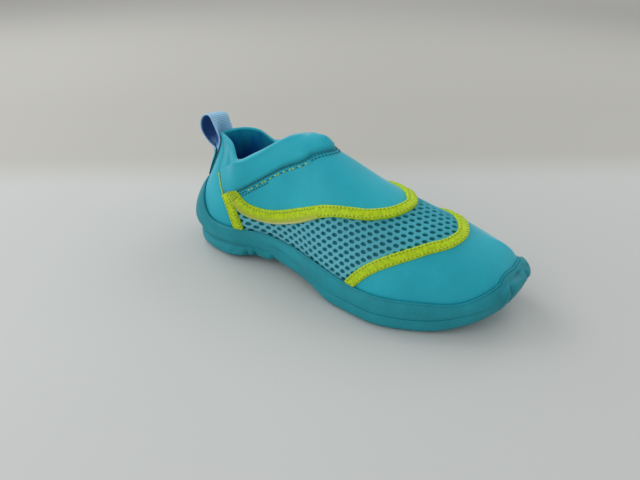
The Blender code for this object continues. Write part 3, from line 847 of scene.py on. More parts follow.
meshForm = {
    "firstStep": (0.0039, 0.0004),
    "secondStep": (-0.00275, 0.00383),
    "origin": (0.0166, 0.0010),
    "holeAlong": (0.00155, -0.00065),
    "holeDown": (0.00012, 0.00114),
    "shrink": 0.18,
    "rearFrom": 0.0166,
    "rearStretch": 2.7,
    "rearSlant": 2.0,
    "strandDepth": 0.0011,
    "top": -0.0003,
    "crown": 0.0002,
    "underTape": 0.0012,
    "lowest": 0.04,
    "latticeReach": 45,
    "middle": 0.01,
    "halfLength": 0.08,
    "halfDrop": 0.090,
    "paleShare": 0.75,
}
clothStep = 0.001
clothAlong = np.arange(-0.075, 0.095, clothStep)
clothDown = np.arange(-0.080, 0.0801, clothStep)


def clothTable():
    # The station and across of every knot of the flat cloth
    stations = np.linspace(2.4, 11.2, 265)
    levels = np.linspace(1, 0, 121)
    found = np.zeros((len(clothDown), len(clothAlong), 2))
    for inner in (False, True):
        rows = np.flatnonzero(clothDown < 0 if inner else clothDown >= 0)
        depths = np.abs(clothDown[rows])
        qs, vs = np.meshgrid(fullRound - stations if inner else stations, levels, indexing="ij")
        points = onUpper(qs, vs)
        arcs = np.stack([runLength(line) for line in points])
        throatArc = np.interp(throatRow, stations, arcs[:, -1])
        arcs += np.where(stations < throatRow, throatArc - arcs[:, -1], 0.0)[:, None]
        level = np.stack([np.interp(depths, arc, levels) for arc in arcs])
        along = np.stack([np.interp(depths, arc, line[:, 0]) for arc, line in zip(arcs, points)])
        for k, row in enumerate(rows):
            found[row, :, 0] = np.interp(clothAlong, along[:, k], stations)
            across = np.interp(clothAlong, along[:, k], level[:, k])
            found[row, :, 1] = 2 - across if inner else across
    return found


def layOnUpper(table, cloth):
    # The station and across of points of the flat cloth
    x = np.clip((cloth[..., 0] - clothAlong[0]) / clothStep, 0, len(clothAlong) - 1.001)
    y = np.clip((cloth[..., 1] - clothDown[0]) / clothStep, 0, len(clothDown) - 1.001)
    i, j = x.astype(int), y.astype(int)
    fx, fy = (x - i)[..., None], (y - j)[..., None]
    near = table[j, i] * (1 - fx) + table[j, i + 1] * fx
    far = table[j + 1, i] * (1 - fx) + table[j + 1, i + 1] * fx
    found = near * (1 - fy) + far * fy
    return found[..., 0], found[..., 1]


def stretchCloth(cloth):
    # Towards the heel the cloth is drawn back and down
    rear = np.maximum(meshForm["rearFrom"] - cloth[..., 0], 0) ** 2
    down = cloth[..., 1] - np.sign(cloth[..., 1]) * meshForm["rearSlant"] * rear
    return np.stack([cloth[..., 0] - meshForm["rearStretch"] * rear, down], axis=-1)


def circleCentre(a, b):
    # The centre of the circle through the origin, a and b
    scale = 2 * (a[0] * b[1] - a[1] * b[0])
    aa, bb = (a**2).sum(), (b**2).sum()
    return np.array([b[1] * aa - a[1] * bb, a[0] * bb - b[0] * aa]) / scale


def cellRings(first, second):
    # The rings of one cell from its border in to its hole. Each is a part that keeps its size, a part that
    # shrinks with the hole, a height and a darkness of painted shade down the hole's wall.
    third = first + second
    spokes = [first, third, second, -first, -third, -second]
    corners = [circleCentre(a, b) for a, b in zip(spokes, spokes[1:] + spokes[:1])]
    border = []
    for a, b in zip(corners, corners[1:] + corners[:1]):
        border += [a, (a + b) / 2]
    border = np.array(border)
    ways = border / np.linalg.norm(border, axis=1, keepdims=True)
    rounder = np.linalg.inv([meshForm["holeAlong"], meshForm["holeDown"]])
    hole = ways / np.linalg.norm(ways @ rounder, axis=1)[:, None]
    flat = np.zeros_like(border)
    top, deep = meshForm["top"], meshForm["strandDepth"]
    return [(border, flat, top, 0.0), (border * 0.5, hole * 0.5, top + meshForm["crown"], 0.0),
            (flat, hole * 1.14, top - 0.0001, 0.1), (flat, hole, top - deep * 0.4, 0.7),
            (flat, hole * 1.02, top - deep, 1.0)]


def cellCentres(table, first, second):
    # The cells that show in the window, and how high up the shoe and near its toe each lies from 0 to 1
    origin = np.array(meshForm["origin"])
    reach = range(-meshForm["latticeReach"], meshForm["latticeReach"] + 1)
    centres = np.array([origin + i * first + j * second for i in reach for j in reach])
    onCloth = np.abs(centres[:, 0] - meshForm["middle"]) < meshForm["halfLength"]
    centres = centres[onCloth & (np.abs(centres[:, 1]) < meshForm["halfDrop"])]
    station, across = layOnUpper(table, stretchCloth(centres))
    near = nearWindowEdge(skin(*ringPlace(station, across)))
    keep = insideWindow(station, across) | (near < meshForm["underTape"])
    keep &= (across > meshForm["lowest"]) & (across < 2 - meshForm["lowest"])
    high = np.clip(1 - np.abs(across[keep] - 1), 0, 1)
    return centres[keep], np.clip(0.75 * high + 0.25 * (station[keep] - 4) / 6, 0, 1)


def makeMeshPanel():
    first, second = np.array(meshForm["firstStep"]), np.array(meshForm["secondStep"])
    table = clothTable()
    centres, high = cellCentres(table, first, second)
    # Holes are wide and strands pale by the sole, closer and darker over the toes
    size = (1.00 - meshForm["shrink"] * high)[:, None, None]
    pitShare = 1 - 0.35 * high
    paleShare = meshForm["paleShare"] * (1 - high) ** 1.5
    bm = bmesh.new()
    # Painted shade darkens each hole's wall, with less of it high up and towards the toe
    pitShade = bm.verts.layers.float.new("pitShade")
    pale = bm.verts.layers.float.new("pale")
    rings = []
    for still, shape, lift, dark in cellRings(first, second):
        cloth = centres[:, None] + still[None] + shape[None] * size
        q, v = ringPlace(*layOnUpper(table, stretchCloth(cloth)))
        rings.append((skin(q, v, np.full(q.shape, lift)), dark))
    for cell in range(len(centres)):
        loops = []
        for points, dark in rings:
            loop = [bm.verts.new(point) for point in points[cell]]
            for vert in loop:
                vert[pitShade] = dark * pitShare[cell]
                vert[pale] = paleShare[cell]
            loops.append(loop)
        for outer, inner in zip(loops, loops[1:]):
            for k in range(len(outer)):
                following = (k + 1) % len(outer)
                bm.faces.new((outer[k], outer[following], inner[following], inner[k]))
    closeSeams(bm, 2e-5)
    print("mesh holes", len(centres))
    return newObject("mesh_panel", bm, meshCloth, 75)


meshPanel = makeMeshPanel()
print("mesh window ready")


# Tapes: bound lime tape with rounded edges and rows of stitches

tapeForm = {
    "profile": [(-1.00, -0.0005), (-1.00, 0.0004), (-0.95, 0.0009), (-0.84, 0.0011), (-0.72, 0.00098),
                (-0.55, 0.00115), (0.00, 0.00125), (0.55, 0.00115), (0.72, 0.00098), (0.84, 0.0011),
                (0.95, 0.0009), (1.00, 0.0004), (1.00, -0.0005), (0.00, -0.0005), (-1.00, -0.0005)],
    "stitchRow": 0.66,
    "stitchPitch": 0.0021,
    "stitchLength": 0.0016,
    "threadRadius": 0.00042,
    "holeLength": 0.0011,
    "ballAround": 8,
    "ballRings": 6,
    "vampWidths": ((0.0, 1.00), (0.06, 1.12), (0.22, 1.12), (0.32, 0.80), (0.50, 0.76), (0.68, 0.80),
                   (0.78, 1.12), (0.94, 1.12), (1.0, 1.00)),
    "toeWidth": 0.78,
    "heelWidth": 0.84,
    "overlap": 0.0006,
    "overlapEnds": (0.275, 0.712),
    "overlapRound": 0.010,
    "overlapEdge": 0.003,
    "threadLift": 0.00110,
    "overlapThreadLift": 0.00165,
    "tackLift": 0.00135,
    "tackPitch": 0.0013,
    "tackRows": (-0.0020, -0.0008, 0.0004, 0.0016),
    "tackSlant": 1.4,
    "edgePitch": 0.0010,
    "edgeSlant": 0.5,
    "slant": 0.35,
    "shadeEnds": (0.27, 0.70),
    "shadeOver": 0.03,
    "shadeStrength": 0.80,
    "paleAt": (0.16, 0.84),
    "paleSpread": 0.08,
    "paleTint": 0.70,
}
tackLine = [(2.62, 0.660), (3.10, 0.560)]
edgeLine = [(1.72, 0.655), (2.04, 0.594), (2.44, 0.510)]


def widthAlong(path, widths):
    # Half the tape's width at each point of its path
    share = path["length"] / path["length"][-1]
    if isinstance(widths, float):
        return np.full(share.shape, widths * tapeWidth / 2)
    return np.interp(share, *zip(*widths)) * tapeWidth / 2


def besidePath(path, shift, offset):
    # Points a distance to the side of a path and off the upper
    line = path["line"] + path["aside"] * np.reshape(shift, (-1, 1))
    q, v = ringPlace(*nearestPlace(line, path["station"], path["across"]))
    return skin(q, v, np.full(len(line), offset))


def overlapStep(share, side):
    # How much the front part of the vamp tape lies over its rear parts. Its ends are round.
    first, final = tapeForm["overlapEnds"]
    inwards = tapeForm["overlapRound"] * side * side
    start = ease((share - first - inwards) / tapeForm["overlapEdge"])
    return start * ease((final - inwards - share) / tapeForm["overlapEdge"])


def rearShade(share):
    # Behind its overlap the vamp tape's lower half is painted olive as shade, with a pale edge, on both sides
    first, final = (ease((share - end) / tapeForm["shadeOver"]) for end in tapeForm["shadeEnds"])
    shaded = np.maximum(1 - first, final)[:, None] * tapeForm["shadeStrength"]
    pale = sum(np.exp(-((share - at) / tapeForm["paleSpread"]) ** 2) for at in tapeForm["paleAt"])
    pale = pale[:, None] * tapeForm["paleTint"]
    sides = np.array([side for side, _ in tapeForm["profile"]])[None]
    return shaded * ease((-sides - 0.05) / 0.4), pale * ease((-sides - 0.60) / 0.30)


def makeTape(name, path, widths, inParts=False):
    half = widthAlong(path, widths)
    share = path["length"] / path["length"][-1]
    columns = []
    for side, lift in tapeForm["profile"]:
        over = tapeForm["overlap"] * overlapStep(share, side) if inParts and lift > 0 else 0
        columns.append(besidePath(path, side * half, lift + over))
    points = np.stack(columns, axis=1)
    bm = bmesh.new()
    shadeLayer = bm.verts.layers.float.new("shade")
    paleLayer = bm.verts.layers.float.new("pale")
    shade, pale = rearShade(share) if inParts else np.zeros((2, *points.shape[:2]))
    addGrid(bm, points, {shadeLayer: shade, paleLayer: pale})
    closeSeams(bm, fill=True)
    return newObject(name, bm, limeTape, 60)


def threadBall():
    # A ball's points in rings from pole to pole, and its faces, always in the same order
    around, rings = tapeForm["ballAround"], tapeForm["ballRings"]
    turns = np.arange(around) * 2 * np.pi / around
    tilts = np.arange(1, rings) * np.pi / rings
    ring = [(np.sin(tilt) * np.cos(turn), np.sin(tilt) * np.sin(turn), np.cos(tilt))
            for tilt in tilts for turn in turns]
    points = np.array([(0, 0, 1), *ring, (0, 0, -1)])
    sides = []
    for k in range(around):
        rows = [(1 + k + i * around, 1 + (k + 1) % around + i * around) for i in range(rings - 1)]
        sides.append((0, *rows[0]))
        sides += [(high[0], low[0], low[1], high[1]) for high, low in zip(rows, rows[1:])]
        sides.append((rows[-1][0], len(points) - 1, rows[-1][1]))
    return points, sides


def beadPiece(name, beads, material):
    # Many short rounded threads as one piece. Each is a place with three axes of its own length.
    ball, sides = threadBall()
    verts, faces = [], []
    for centre, *axes in beads:
        faces += [[index + len(verts) for index in side] for side in sides]
        verts += (centre + ball @ np.array(axes)).tolist()
    mesh = bpy.data.meshes.new(name)
    mesh.from_pydata(verts, [], faces)
    mesh.materials.append(material)
    mesh.shade_smooth()
    return linked(name, mesh)


def bead(centre, along, normal, length):
    radius = tapeForm["threadRadius"]
    return np.array(centre), along * length / 2, np.cross(normal, along) * radius, normal * radius


def stitchRow(threads, holes, path, shift, lift, start=0.0, end=1.0, pitch=None, skip=None, slant=0.0):
    # Threads lie at an even pitch along a path, each between two needle holes, turned to and fro by slant
    pitch = pitch or tapeForm["stitchPitch"]
    line = besidePath(path, shift, lift)
    lengths = runLength(line)
    count = int((end - start) * lengths[-1] / pitch)
    for k in range(count):
        at = start * lengths[-1] + (k + 0.5) * pitch
        point, hole = ([np.interp(where, lengths, line[:, axis]) for axis in range(3)]
                       for where in (at, at + pitch / 2))
        i = min(int(np.searchsorted(lengths, at)), len(line) - 1)
        along, normal = path["along"][i], path["normal"][i]
        turned = unit(along + path["aside"][i] * slant * (1 if k % 2 else -1))
        if skip is None or not skip(k):
            threads.append(bead(point, turned, normal, tapeForm["stitchLength"]))
        if holes is not None:
            holes.append(bead(hole, turned, normal, tapeForm["holeLength"]))


vampTape = makeTape("vamp_tape_cloth", vampPath, tapeForm["vampWidths"], inParts=True)
toeTape = makeTape("toe_tape_cloth", toePath, tapeForm["toeWidth"])
heelTapes = {side: makeTape("heel_tape_cloth_" + side, path, tapeForm["heelWidth"])
             for side, path in heelPaths.items()}


def makeTapeStitches():
    threads, holes = [], []
    row, slant = tapeForm["stitchRow"], tapeForm["slant"]
    low, high = tapeForm["threadLift"], tapeForm["overlapThreadLift"]
    vampHalf = widthAlong(vampPath, tapeForm["vampWidths"]) * row
    first, final = tapeForm["overlapEnds"]
    for start, end, lift in ((0, first, low), (first, final, high), (final, 1, low)):
        stitchRow(threads, holes, vampPath, vampHalf, lift, start, end, slant=slant)
    stitchRow(threads, holes, vampPath, -vampHalf, high, first, final, slant=slant)
    plainTapes = [(toePath, tapeForm["toeWidth"])]
    plainTapes += [(path, tapeForm["heelWidth"]) for path in heelPaths.values()]
    for side in (-row, row):
        for path, width in plainTapes:
            stitchRow(threads, holes, path, side * widthAlong(path, width), low, slant=slant)
    # A dense zigzag tack holds the tapes' rear ends at the cuff, and an overlocked edge runs up from it
    for tackRows, edgeRows in ((tackLine, edgeLine), (otherSide(tackLine), otherSide(edgeLine))):
        tack = pathOnUpper(tackRows, 24)
        for step in tapeForm["tackRows"]:
            stitchRow(threads, holes, tack, step, tapeForm["tackLift"], pitch=tapeForm["tackPitch"],
                      slant=tapeForm["tackSlant"])
        edge = pathOnUpper(edgeRows, 40)
        stitchRow(threads, None, edge, 0.0, 0.0004, pitch=tapeForm["edgePitch"], slant=tapeForm["edgeSlant"])
    stitches = beadPiece("tape_stitches", threads, limeThread)
    return stitches, beadPiece("tape_needle_holes", holes, oliveThread)


tapeStitches, tapeHoles = makeTapeStitches()
print("tapes ready")


# Cuff: a folded band that rolls over the collar's edge and ends inside it

cuffForm = {
    "steps": 241,
    "bandSteps": 16,
    "rollSteps": 7,
    "insideSteps": 6,
    "lift": 0.0019,
    "puff": 0.0006,
    "dome": 0.0026,
    "domeAt": 0.98,
    "domeSpread": 0.13,
    "edgeShare": 0.13,
    "edgeDrop": 0.0006,
    "throatEdgeDrop": 0.0010,
    "endDrop": 0.0002,
    "topDrop": 0.55,
    "endLength": 5,
    "smoothSteps": 4.5,
    "rollRise": 0.40,
    "insideDrop": 0.16,
    "openFrom": 2.75,
    "openOver": 0.30,
    "throatFrom": 0.66,
    "throatTo": 1.40,
    "throatOver": 0.16,
    "seamShadeShares": (0.75, 0.35, 0.05),
    "insideShade": 0.8,
    "stitchPitch": 0.0021,
    "stitchShift": -0.0015,
    "limeLift": 0.0003,
    "tealLift": 0.0002,
    "limeSlant": 0.3,
}


def bentSoftly(points, amount):
    # The band bends round the throat without a crease
    spread = np.arange(-14, 15)
    weights = np.exp(-(spread / cuffForm["smoothSteps"]) ** 2 / 2)
    places = np.clip(np.arange(len(points))[:, None] + spread[None], 0, len(points) - 1)
    soft = np.einsum("tkcx,k->tcx", points[places], weights / weights.sum())
    return points + (soft - points) * amount[..., None]


def makeCuff():
    # t runs along the band from 0 on the outer side over 1 at the throat to 2 on the inner side
    t = np.linspace(0, 2, cuffForm["steps"])
    rows = rowsAt(cuffRows, np.minimum(t, 2 - t) * (len(cuffRows) - 1))
    share = np.linspace(0, 1, cuffForm["bandSteps"])[None]
    station = rows[:, 2:3] + (rows[:, 0:1] - rows[:, 2:3]) * share
    v = np.minimum(rows[:, 3:4] + (rows[:, 1:2] - rows[:, 3:4]) * share, 1)
    turned = (t > 1)[:, None]
    q = np.where(turned, fullRound - station, station)
    edge = ease(share / cuffForm["edgeShare"])
    steps = np.arange(len(t))
    fromEnd = ease(np.minimum(steps, steps[::-1]) / cuffForm["endLength"])[:, None]
    throatRear = ease((t - cuffForm["throatFrom"]) / cuffForm["throatOver"])
    throatFront = ease((cuffForm["throatTo"] - t) / cuffForm["throatOver"])
    atThroat = (throatRear * throatFront)[:, None]
    fromDome = ((t - cuffForm["domeAt"]) / cuffForm["domeSpread"])[:, None]
    puff = cuffForm["puff"] + cuffForm["dome"] * np.exp(-fromDome ** 2)
    lower = 1 - cuffForm["topDrop"] * atThroat * ease((share - 0.70) / 0.30)
    start = -cuffForm["edgeDrop"] - cuffForm["throatEdgeDrop"] * atThroat
    lift = start + (cuffForm["lift"] * lower - start) * edge + puff * np.sin(np.pi * share ** 0.85) ** 2
    lift = lift * fromEnd - cuffForm["endDrop"] * (1 - fromEnd)
    band = skin(q, v, np.broadcast_to(lift, q.shape))

    topQ, topV = q[:, -1], v[:, -1]
    opening = ease((rows[:, 0] - cuffForm["openFrom"]) / cuffForm["openOver"])[:, None, None]
    top, normal = skin(topQ, topV), normalOnUpper(topQ, topV)
    upwards = unit(top - skin(topQ, topV - 0.03))
    angles = np.linspace(0, math.pi, cuffForm["rollSteps"] + 1)[None, 1:, None]
    radius = (cuffForm["lift"] * (1 - cuffForm["topDrop"] * atThroat) + upperWall / 2)[..., None]
    centre = (top - normal * upperWall / 2)[:, None]
    rolled = centre + normal[:, None] * radius * np.cos(angles)
    rise = cuffForm["rollRise"] * (1 - 0.5 * atThroat)[..., None]
    rolled = rolled + upwards[:, None] * radius * rise * np.sin(angles)
    endLift = (cuffForm["lift"] * fromEnd)[..., None]
    closing = top[:, None] + normal[:, None] * (endLift * np.cos(angles / 2) - 0.0006 * np.sin(angles / 2))
    closing = closing + upwards[:, None] * 0.0008 * np.sin(angles)
    roll = rolled * opening + closing * (1 - opening)

    drop = np.linspace(0, cuffForm["insideDrop"], cuffForm["insideSteps"] + 1)[None, 1:]
    insideV = topV[:, None] - drop
    insideQ = np.broadcast_to(topQ[:, None], insideV.shape)
    closeIn = (upperWall + cuffForm["lift"] * (1 - ease(drop / cuffForm["insideDrop"])) + 0.0003)
    inside = skin(insideQ, insideV, -np.broadcast_to(closeIn, insideV.shape))
    hidden = np.broadcast_to(roll[:, -1:], inside.shape)
    inside = inside * opening + hidden * (1 - opening)

    points = bentSoftly(np.concatenate([band, roll, inside], axis=1), atThroat)
    seam, shadeInside = np.zeros((2, *points.shape[:2]))
    # Painted shade along the band's lower edge, where it stands off the upper
    seam[:, :len(cuffForm["seamShadeShares"])] = cuffForm["seamShadeShares"]
    # The band's inside, turned into the shoe, is painted in the lining's light teal as shade
    shadeInside[:, -cuffForm["insideSteps"]:] = cuffForm["insideShade"]
    bm = bmesh.new()
    seamLayer = bm.verts.layers.float.new("seam")
    insideLayer = bm.verts.layers.float.new("inside")
    addGrid(bm, sagged(points), {seamLayer: seam, insideLayer: shadeInside})
    closeSeams(bm)
    return newObject("cuff_band", bm, cuffCloth, 75)


cuffBand = makeCuff()
cuffSeamRows = [(row[2], row[3]) for row in cuffRows] + [(row[2], 2 - row[3]) for row in cuffRows[:-1]][::-1]
cuffSeam = pathOnUpper(cuffSeamRows, 201)


def makeCuffStitches():
    # Lime and teal threads take turns down both sides of the shoe, with teal alone at the throat and the ends
    lime, teal = [], []
    pitch, shift = cuffForm["stitchPitch"], cuffForm["stitchShift"]
    for start, end in ((0.12, 0.40), (0.60, 0.88)):
        stitchRow(lime, None, cuffSeam, shift, cuffForm["limeLift"], start, end, pitch,
                  lambda k: k % 5 in (2, 4), cuffForm["limeSlant"])
        stitchRow(teal, None, cuffSeam, shift, cuffForm["tealLift"], start, end, pitch,
                  lambda k: k % 5 not in (2, 4))
    for start, end in ((0.00, 0.12), (0.40, 0.60), (0.88, 1.00)):
        stitchRow(teal, None, cuffSeam, shift, cuffForm["tealLift"], start, end, pitch)
    for start, end in ((0.00, 0.22), (0.78, 1.00)):
        stitchRow(teal, None, cuffSeam, 2 * shift, 0.0001, start, end, pitch)
    stitchRow(teal, None, cuffSeam, 0.0004, 0.0006, 0.02, 0.98, 0.0020)
    limeStitches = beadPiece("cuff_lime_stitches", lime, limeThread)
    return limeStitches, beadPiece("cuff_teal_stitches", teal, tealThread)


cuffLimeStitches, cuffTealStitches = makeCuffStitches()
print("cuff ready")


# Pull loop: webbing folded in two, sewn up the heel's back, with a free loop above the rim

pullLoopRows = [
    # rise, behind, flat
    (0.00, 0.000, 0.00), (0.22, 0.000, 0.00), (0.42, 0.000, 0.00), (0.60, 0.010, 0.40),
    (0.80, 0.030, 0.80), (0.94, 0.070, 0.95), (1.00, 0.150, 1.00), (1.00, 0.240, 1.00),
    (0.94, 0.370, 0.95), (0.80, 0.480, 0.90), (0.60, 0.540, 0.80), (0.42, 0.520, 0.65),
    (0.22, 0.390, 0.30), (0.08, 0.180, 0.05),
]
loopForm = {
    "columns": 13,
    "tapeRows": 5,
    "finer": 5,
    "pressed": 0.6,
    "halfWidth": 0.46,
    "corner": 14,
    "edgeShare": 0.35,
    "insideShade": 0.95,
    "shadeRise": 0.25,
}


def heelBack(side, height, offset):
    # Points on the heel's back, side from -1 to 1 across the webbing
    side = np.asarray(side, float)
    height = np.full(side.shape, height)
    middle = onUpper(0.0, vAtHeight(np.zeros(1), height[:1]))[0]
    low, high = np.zeros(side.shape), np.full(side.shape, 2.5)
    for _ in range(16):
        station = (low + high) / 2
        q = np.where(side < 0, station, fullRound - station)
        v = vAtHeight(q, height)
        reach = np.abs(side) * webbingWidth * loopForm["halfWidth"]
        short = np.abs(onUpper(q, v)[:, 1] - middle[1]) < reach
        low, high = np.where(short, station, low), np.where(short, high, station)
    return onUpper(q, v) + normalOnUpper(q, v) * offset


def makePullLoop():
    sides = np.linspace(-1, 1, loopForm["columns"])
    # Down the heel the two layers are pressed thin under a cover of the heel's own cloth
    pressed = loopForm["pressed"] * webbingThickness
    first, second = gap + pressed / 2, 2 * gap + pressed * 1.5
    loopFirst = 2 * gap + webbingThickness / 2
    loopSecond = loopFirst + webbingThickness + gap
    foot = heelBumperHeight + gap
    base = heelRimHeight - loopBaseDrop
    heights = [foot + (base - foot) * i / loopForm["tapeRows"] for i in range(loopForm["tapeRows"])]
    rim = heelRimHeight * collarRows[0][3] - 2 * gap
    grid = [heelBack(sides, height, first) for height in heights]
    for rise, behind, flat in pullLoopRows:
        height = base + rise * loopHeight
        row = heelBack(sides, min(height, rim), loopFirst)
        row[:, 0] += (row[:, 0].mean() - row[:, 0]) * flat - behind * loopHeight
        row[:, 2] = height - flat * sides * webbingThickness
        grid.append(row)
    grid.append(heelBack(sides, base, loopSecond))
    grid += [heelBack(sides, height, second) for height in heights[::-1]]
    grid = np.array(grid)
    steps = (len(grid) - 1) * loopForm["finer"] + 1
    fine = rowsAt(grid.reshape(len(grid), -1), np.linspace(0, len(grid) - 1, steps)).reshape(steps, -1, 3)
    normal = unit(np.cross(np.gradient(fine, axis=0), np.gradient(fine, axis=1)))
    edge = np.sqrt(np.clip(1 - np.abs(sides) ** loopForm["corner"], 0, 1))[None, :, None]
    free = ease((fine[..., 2:] - base + 0.004) / 0.005)
    half = webbingThickness / 2 * (loopForm["pressed"] + (1 - loopForm["pressed"]) * free)
    half = half * (loopForm["edgeShare"] + (1 - loopForm["edgeShare"]) * edge)
    over, under = fine + normal * half, fine - normal * half
    points = np.concatenate([over, under[:, ::-1], over[:, :1]], axis=1)
    run = runLength(fine[:, loopForm["columns"] // 2])
    across = np.concatenate([sides, sides[::-1], sides[:1]]) * webbingWidth / 2
    # The loop's inside is painted dark as shade, and the heel's cloth covers the webbing below its base
    shade = np.zeros(points.shape[:2])
    shade[:, 1:loopForm["columns"] - 1] = loopForm["insideShade"]
    shade *= ease((points[..., 2] - base) / (loopForm["shadeRise"] * loopHeight))
    cover = 1 - ease((points[..., 2] - base + 0.0015) / 0.003)
    bm = bmesh.new()
    shadeLayer = bm.verts.layers.float.new("shade")
    coverLayer = bm.verts.layers.float.new("cover")
    layoutLayer = bm.verts.layers.float_vector.new("layout")
    made = addGrid(bm, points, {shadeLayer: shade, coverLayer: cover})
    layout = np.stack(np.broadcast_arrays(across[None, :], run[:, None], 0.0), axis=-1).reshape(-1, 3)
    for vert, laid in zip(made, layout):
        vert[layoutLayer] = laid
    cloth = bm.loops.layers.uv.new("cloth")
    for face in bm.faces:
        for corner in face.loops:
            corner[cloth].uv = corner.vert[layoutLayer].xy
    closeSeams(bm, fill=True)
    return newObject("pull_loop_webbing", bm, webbingCloth, 60)


pullLoop = makePullLoop()
print("pull loop ready")


# Outsole: underside with tread, rounded edge, ledge, bulged side wall, bumpers, toe lugs and lip

soleForm = {
    "ringSteps": 480,
    "underSteps": 14,
    "edgeSteps": 6,
    "ledgeSteps": 4,
    "wallSteps": 22,
    "lipSteps": 5,
    "grooveWidth": 0.0026,
    "grooveDepth": 0.0024,
    "sipeDepth": 0.0006,
    "bulge": 0.0006,
    "lineDepth": 0.00035,
    "toeStep": 0.0018,
    "markShare": 1.35,
    "cutAt": -0.049,
    "cutLength": 0.0145,
    "cutHeight": 0.0040,
    "edgeShare": 0.55,
    "ledgeOverlap": 0.0003,
    "lineAt": 0.04,
    "lineSpread": 0.03,
    "lipRound": 0.45,
    "lugShare": 1.25,
    "lugFrom": (10.92, 10.70),
    "lugReach": 0.52,
    "lugWave": 0.05,
    "noseAt": 12.5,
    "noseSpread": 0.34,
    "noseReach": 0.44,
    "lugSplits": (11.20, 11.82, 12.92, 13.34),
    "lugHollows": (11.58, 12.02, 12.98, 13.36),
}
grooveRows = [
    # x, outerY, innerY
    (0.085, -0.40, 0.46), (0.145, -0.52, 0.58), (0.205, -0.90, 0.58), (0.265, -0.90, 0.90),
    (0.575, -0.78, 0.62), (0.635, -0.84, 0.74), (0.695, -0.86, 0.82), (0.755, -0.80, 0.84),
]
# Soft waves and nicks in the side wall
wallMarkRows = [
    # ring place, half width in ring places, height share, its spread, depth
    (1.30, 0.60, 0.52, 0.07, 0.0005), (2.00, 0.55, 0.42, 0.06, 0.0005), (2.75, 0.45, 0.50, 0.06, 0.0005),
    (1.70, 0.60, 0.62, 0.06, -0.0004), (2.45, 0.50, 0.33, 0.07, -0.0005), (3.20, 0.40, 0.40, 0.06, 0.0004),
    (2.90, 0.22, 0.16, 0.12, -0.0007), (3.30, 0.14, 0.14, 0.12, -0.0008), (3.06, 0.10, 0.24, 0.05, 0.0009),
    (3.50, 0.05, 0.10, 0.14, 0.0014), (3.64, 0.08, 0.12, 0.10, -0.0008), (3.76, 0.05, 0.08, 0.14, 0.0014),
    (4.38, 0.05, 0.06, 0.12, 0.0015), (4.60, 0.35, 0.55, 0.10, 0.0004), (5.30, 0.30, 0.45, 0.12, 0.0003),
    (0.45, 0.08, 0.40, 0.30, 0.0004), (0.80, 0.07, 0.30, 0.30, 0.0004),
    (22.3, 0.60, 0.45, 0.07, 0.0005), (21.4, 0.50, 0.52, 0.06, 0.0005), (21.9, 0.55, 0.60, 0.06, -0.0004),
    (20.6, 0.05, 0.10, 0.14, 0.0014), (20.4, 0.12, 0.12, 0.10, -0.0008), (20.2, 0.05, 0.08, 0.14, 0.0014),
    (19.6, 0.05, 0.06, 0.12, 0.0015), (23.5, 0.08, 0.40, 0.30, 0.0004),
]


def spinePoint(q, height):
    station = stationOf(q)
    middle = (soleEdge(station) + soleEdge(fullRound - station)) / 2
    first, final = place(0.09, 0.03), place(0.87, 0.24)
    middle = np.where((middle[..., 0] < first[0])[..., None], first, middle)
    middle = np.where((middle[..., 0] > final[0])[..., None], final, middle)
    middle[..., 2] = height(middle[..., 0])
    return middle


def underHeight(points):
    # The heel's tread is cut up at both sides where the arch begins
    along = np.exp(-((points[:, 0] - soleForm["cutAt"]) / soleForm["cutLength"]) ** 2)
    aside = ease((np.abs(points[:, 1]) - 0.008) / 0.014)
    return floorHeight(points[:, 0]) + soleForm["cutHeight"] * along * aside


def treadDepth(points):
    # Grooves across the underside between its lugs, with shallow wavy sipes between them
    x, y = points[..., 0] / soleLength + 0.5, points[..., 1] / (ballWidth / 2)
    depth = np.zeros(x.shape)
    for middle, outerY, innerY in grooveRows:
        across = ease(1.6 - np.abs(x - middle) * soleLength / (soleForm["grooveWidth"] / 2))
        reach = ease((y - outerY) / 0.04) * ease((innerY - y) / 0.04)
        depth = np.maximum(depth, across * reach * soleForm["grooveDepth"])
    sipes = np.abs(np.sin((x * 52 + 0.12 * np.sin(y * 14)) * np.pi))
    return np.maximum(depth, (1 - ease(sipes / 0.25)) * soleForm["sipeDepth"])


def toeLug(q, share):
    # Tread that wraps up over the toe: proud blocks with grooves between them and hollows above them
    start = np.where(q % fullRound <= lastRow, *soleForm["lugFrom"])
    along = ease((stationOf(q) - start) / 0.10)
    nose = soleForm["noseReach"] * np.exp(-((q - soleForm["noseAt"]) / soleForm["noseSpread"]) ** 2)
    reach = soleForm["lugReach"] + soleForm["lugWave"] * np.cos((q - lastRow) * 7) + nose
    body = along * (1 - ease((share - reach) / 0.09))
    split = sum(np.exp(-((q - middle) / 0.045) ** 2) for middle in soleForm["lugSplits"])
    proud = toeLugProud * soleForm["lugShare"]
    return proud * (body * (1 - 0.9 * np.clip(split, 0, 1)) - 0.7 * toeHollow(q, share))


def toeHollow(q, share):
    return sum(np.exp(-((q - middle) / 0.10) ** 2 - ((share - 0.60) / 0.11) ** 2)
               for middle in soleForm["lugHollows"])


def toeEdgeStep(q):
    # The bumper's top edge steps up where the toe's lugs begin, and sinks back towards the tip
    rises = [ease(along / 0.16) * (1 - ease((along - 0.24) / 0.45)) for along in (q - 10.98, 13.30 - q)]
    return soleForm["toeStep"] * (rises[0] + rises[1] * 0.8)


def forefootShare(q):
    # How far the sole's ledge shows: on both sides of the forefoot and hardly anywhere else
    station = stationOf(q)
    return ease((station - 5.6) / 1.6) * (1 - ease((station - 9.6) / 1.2))


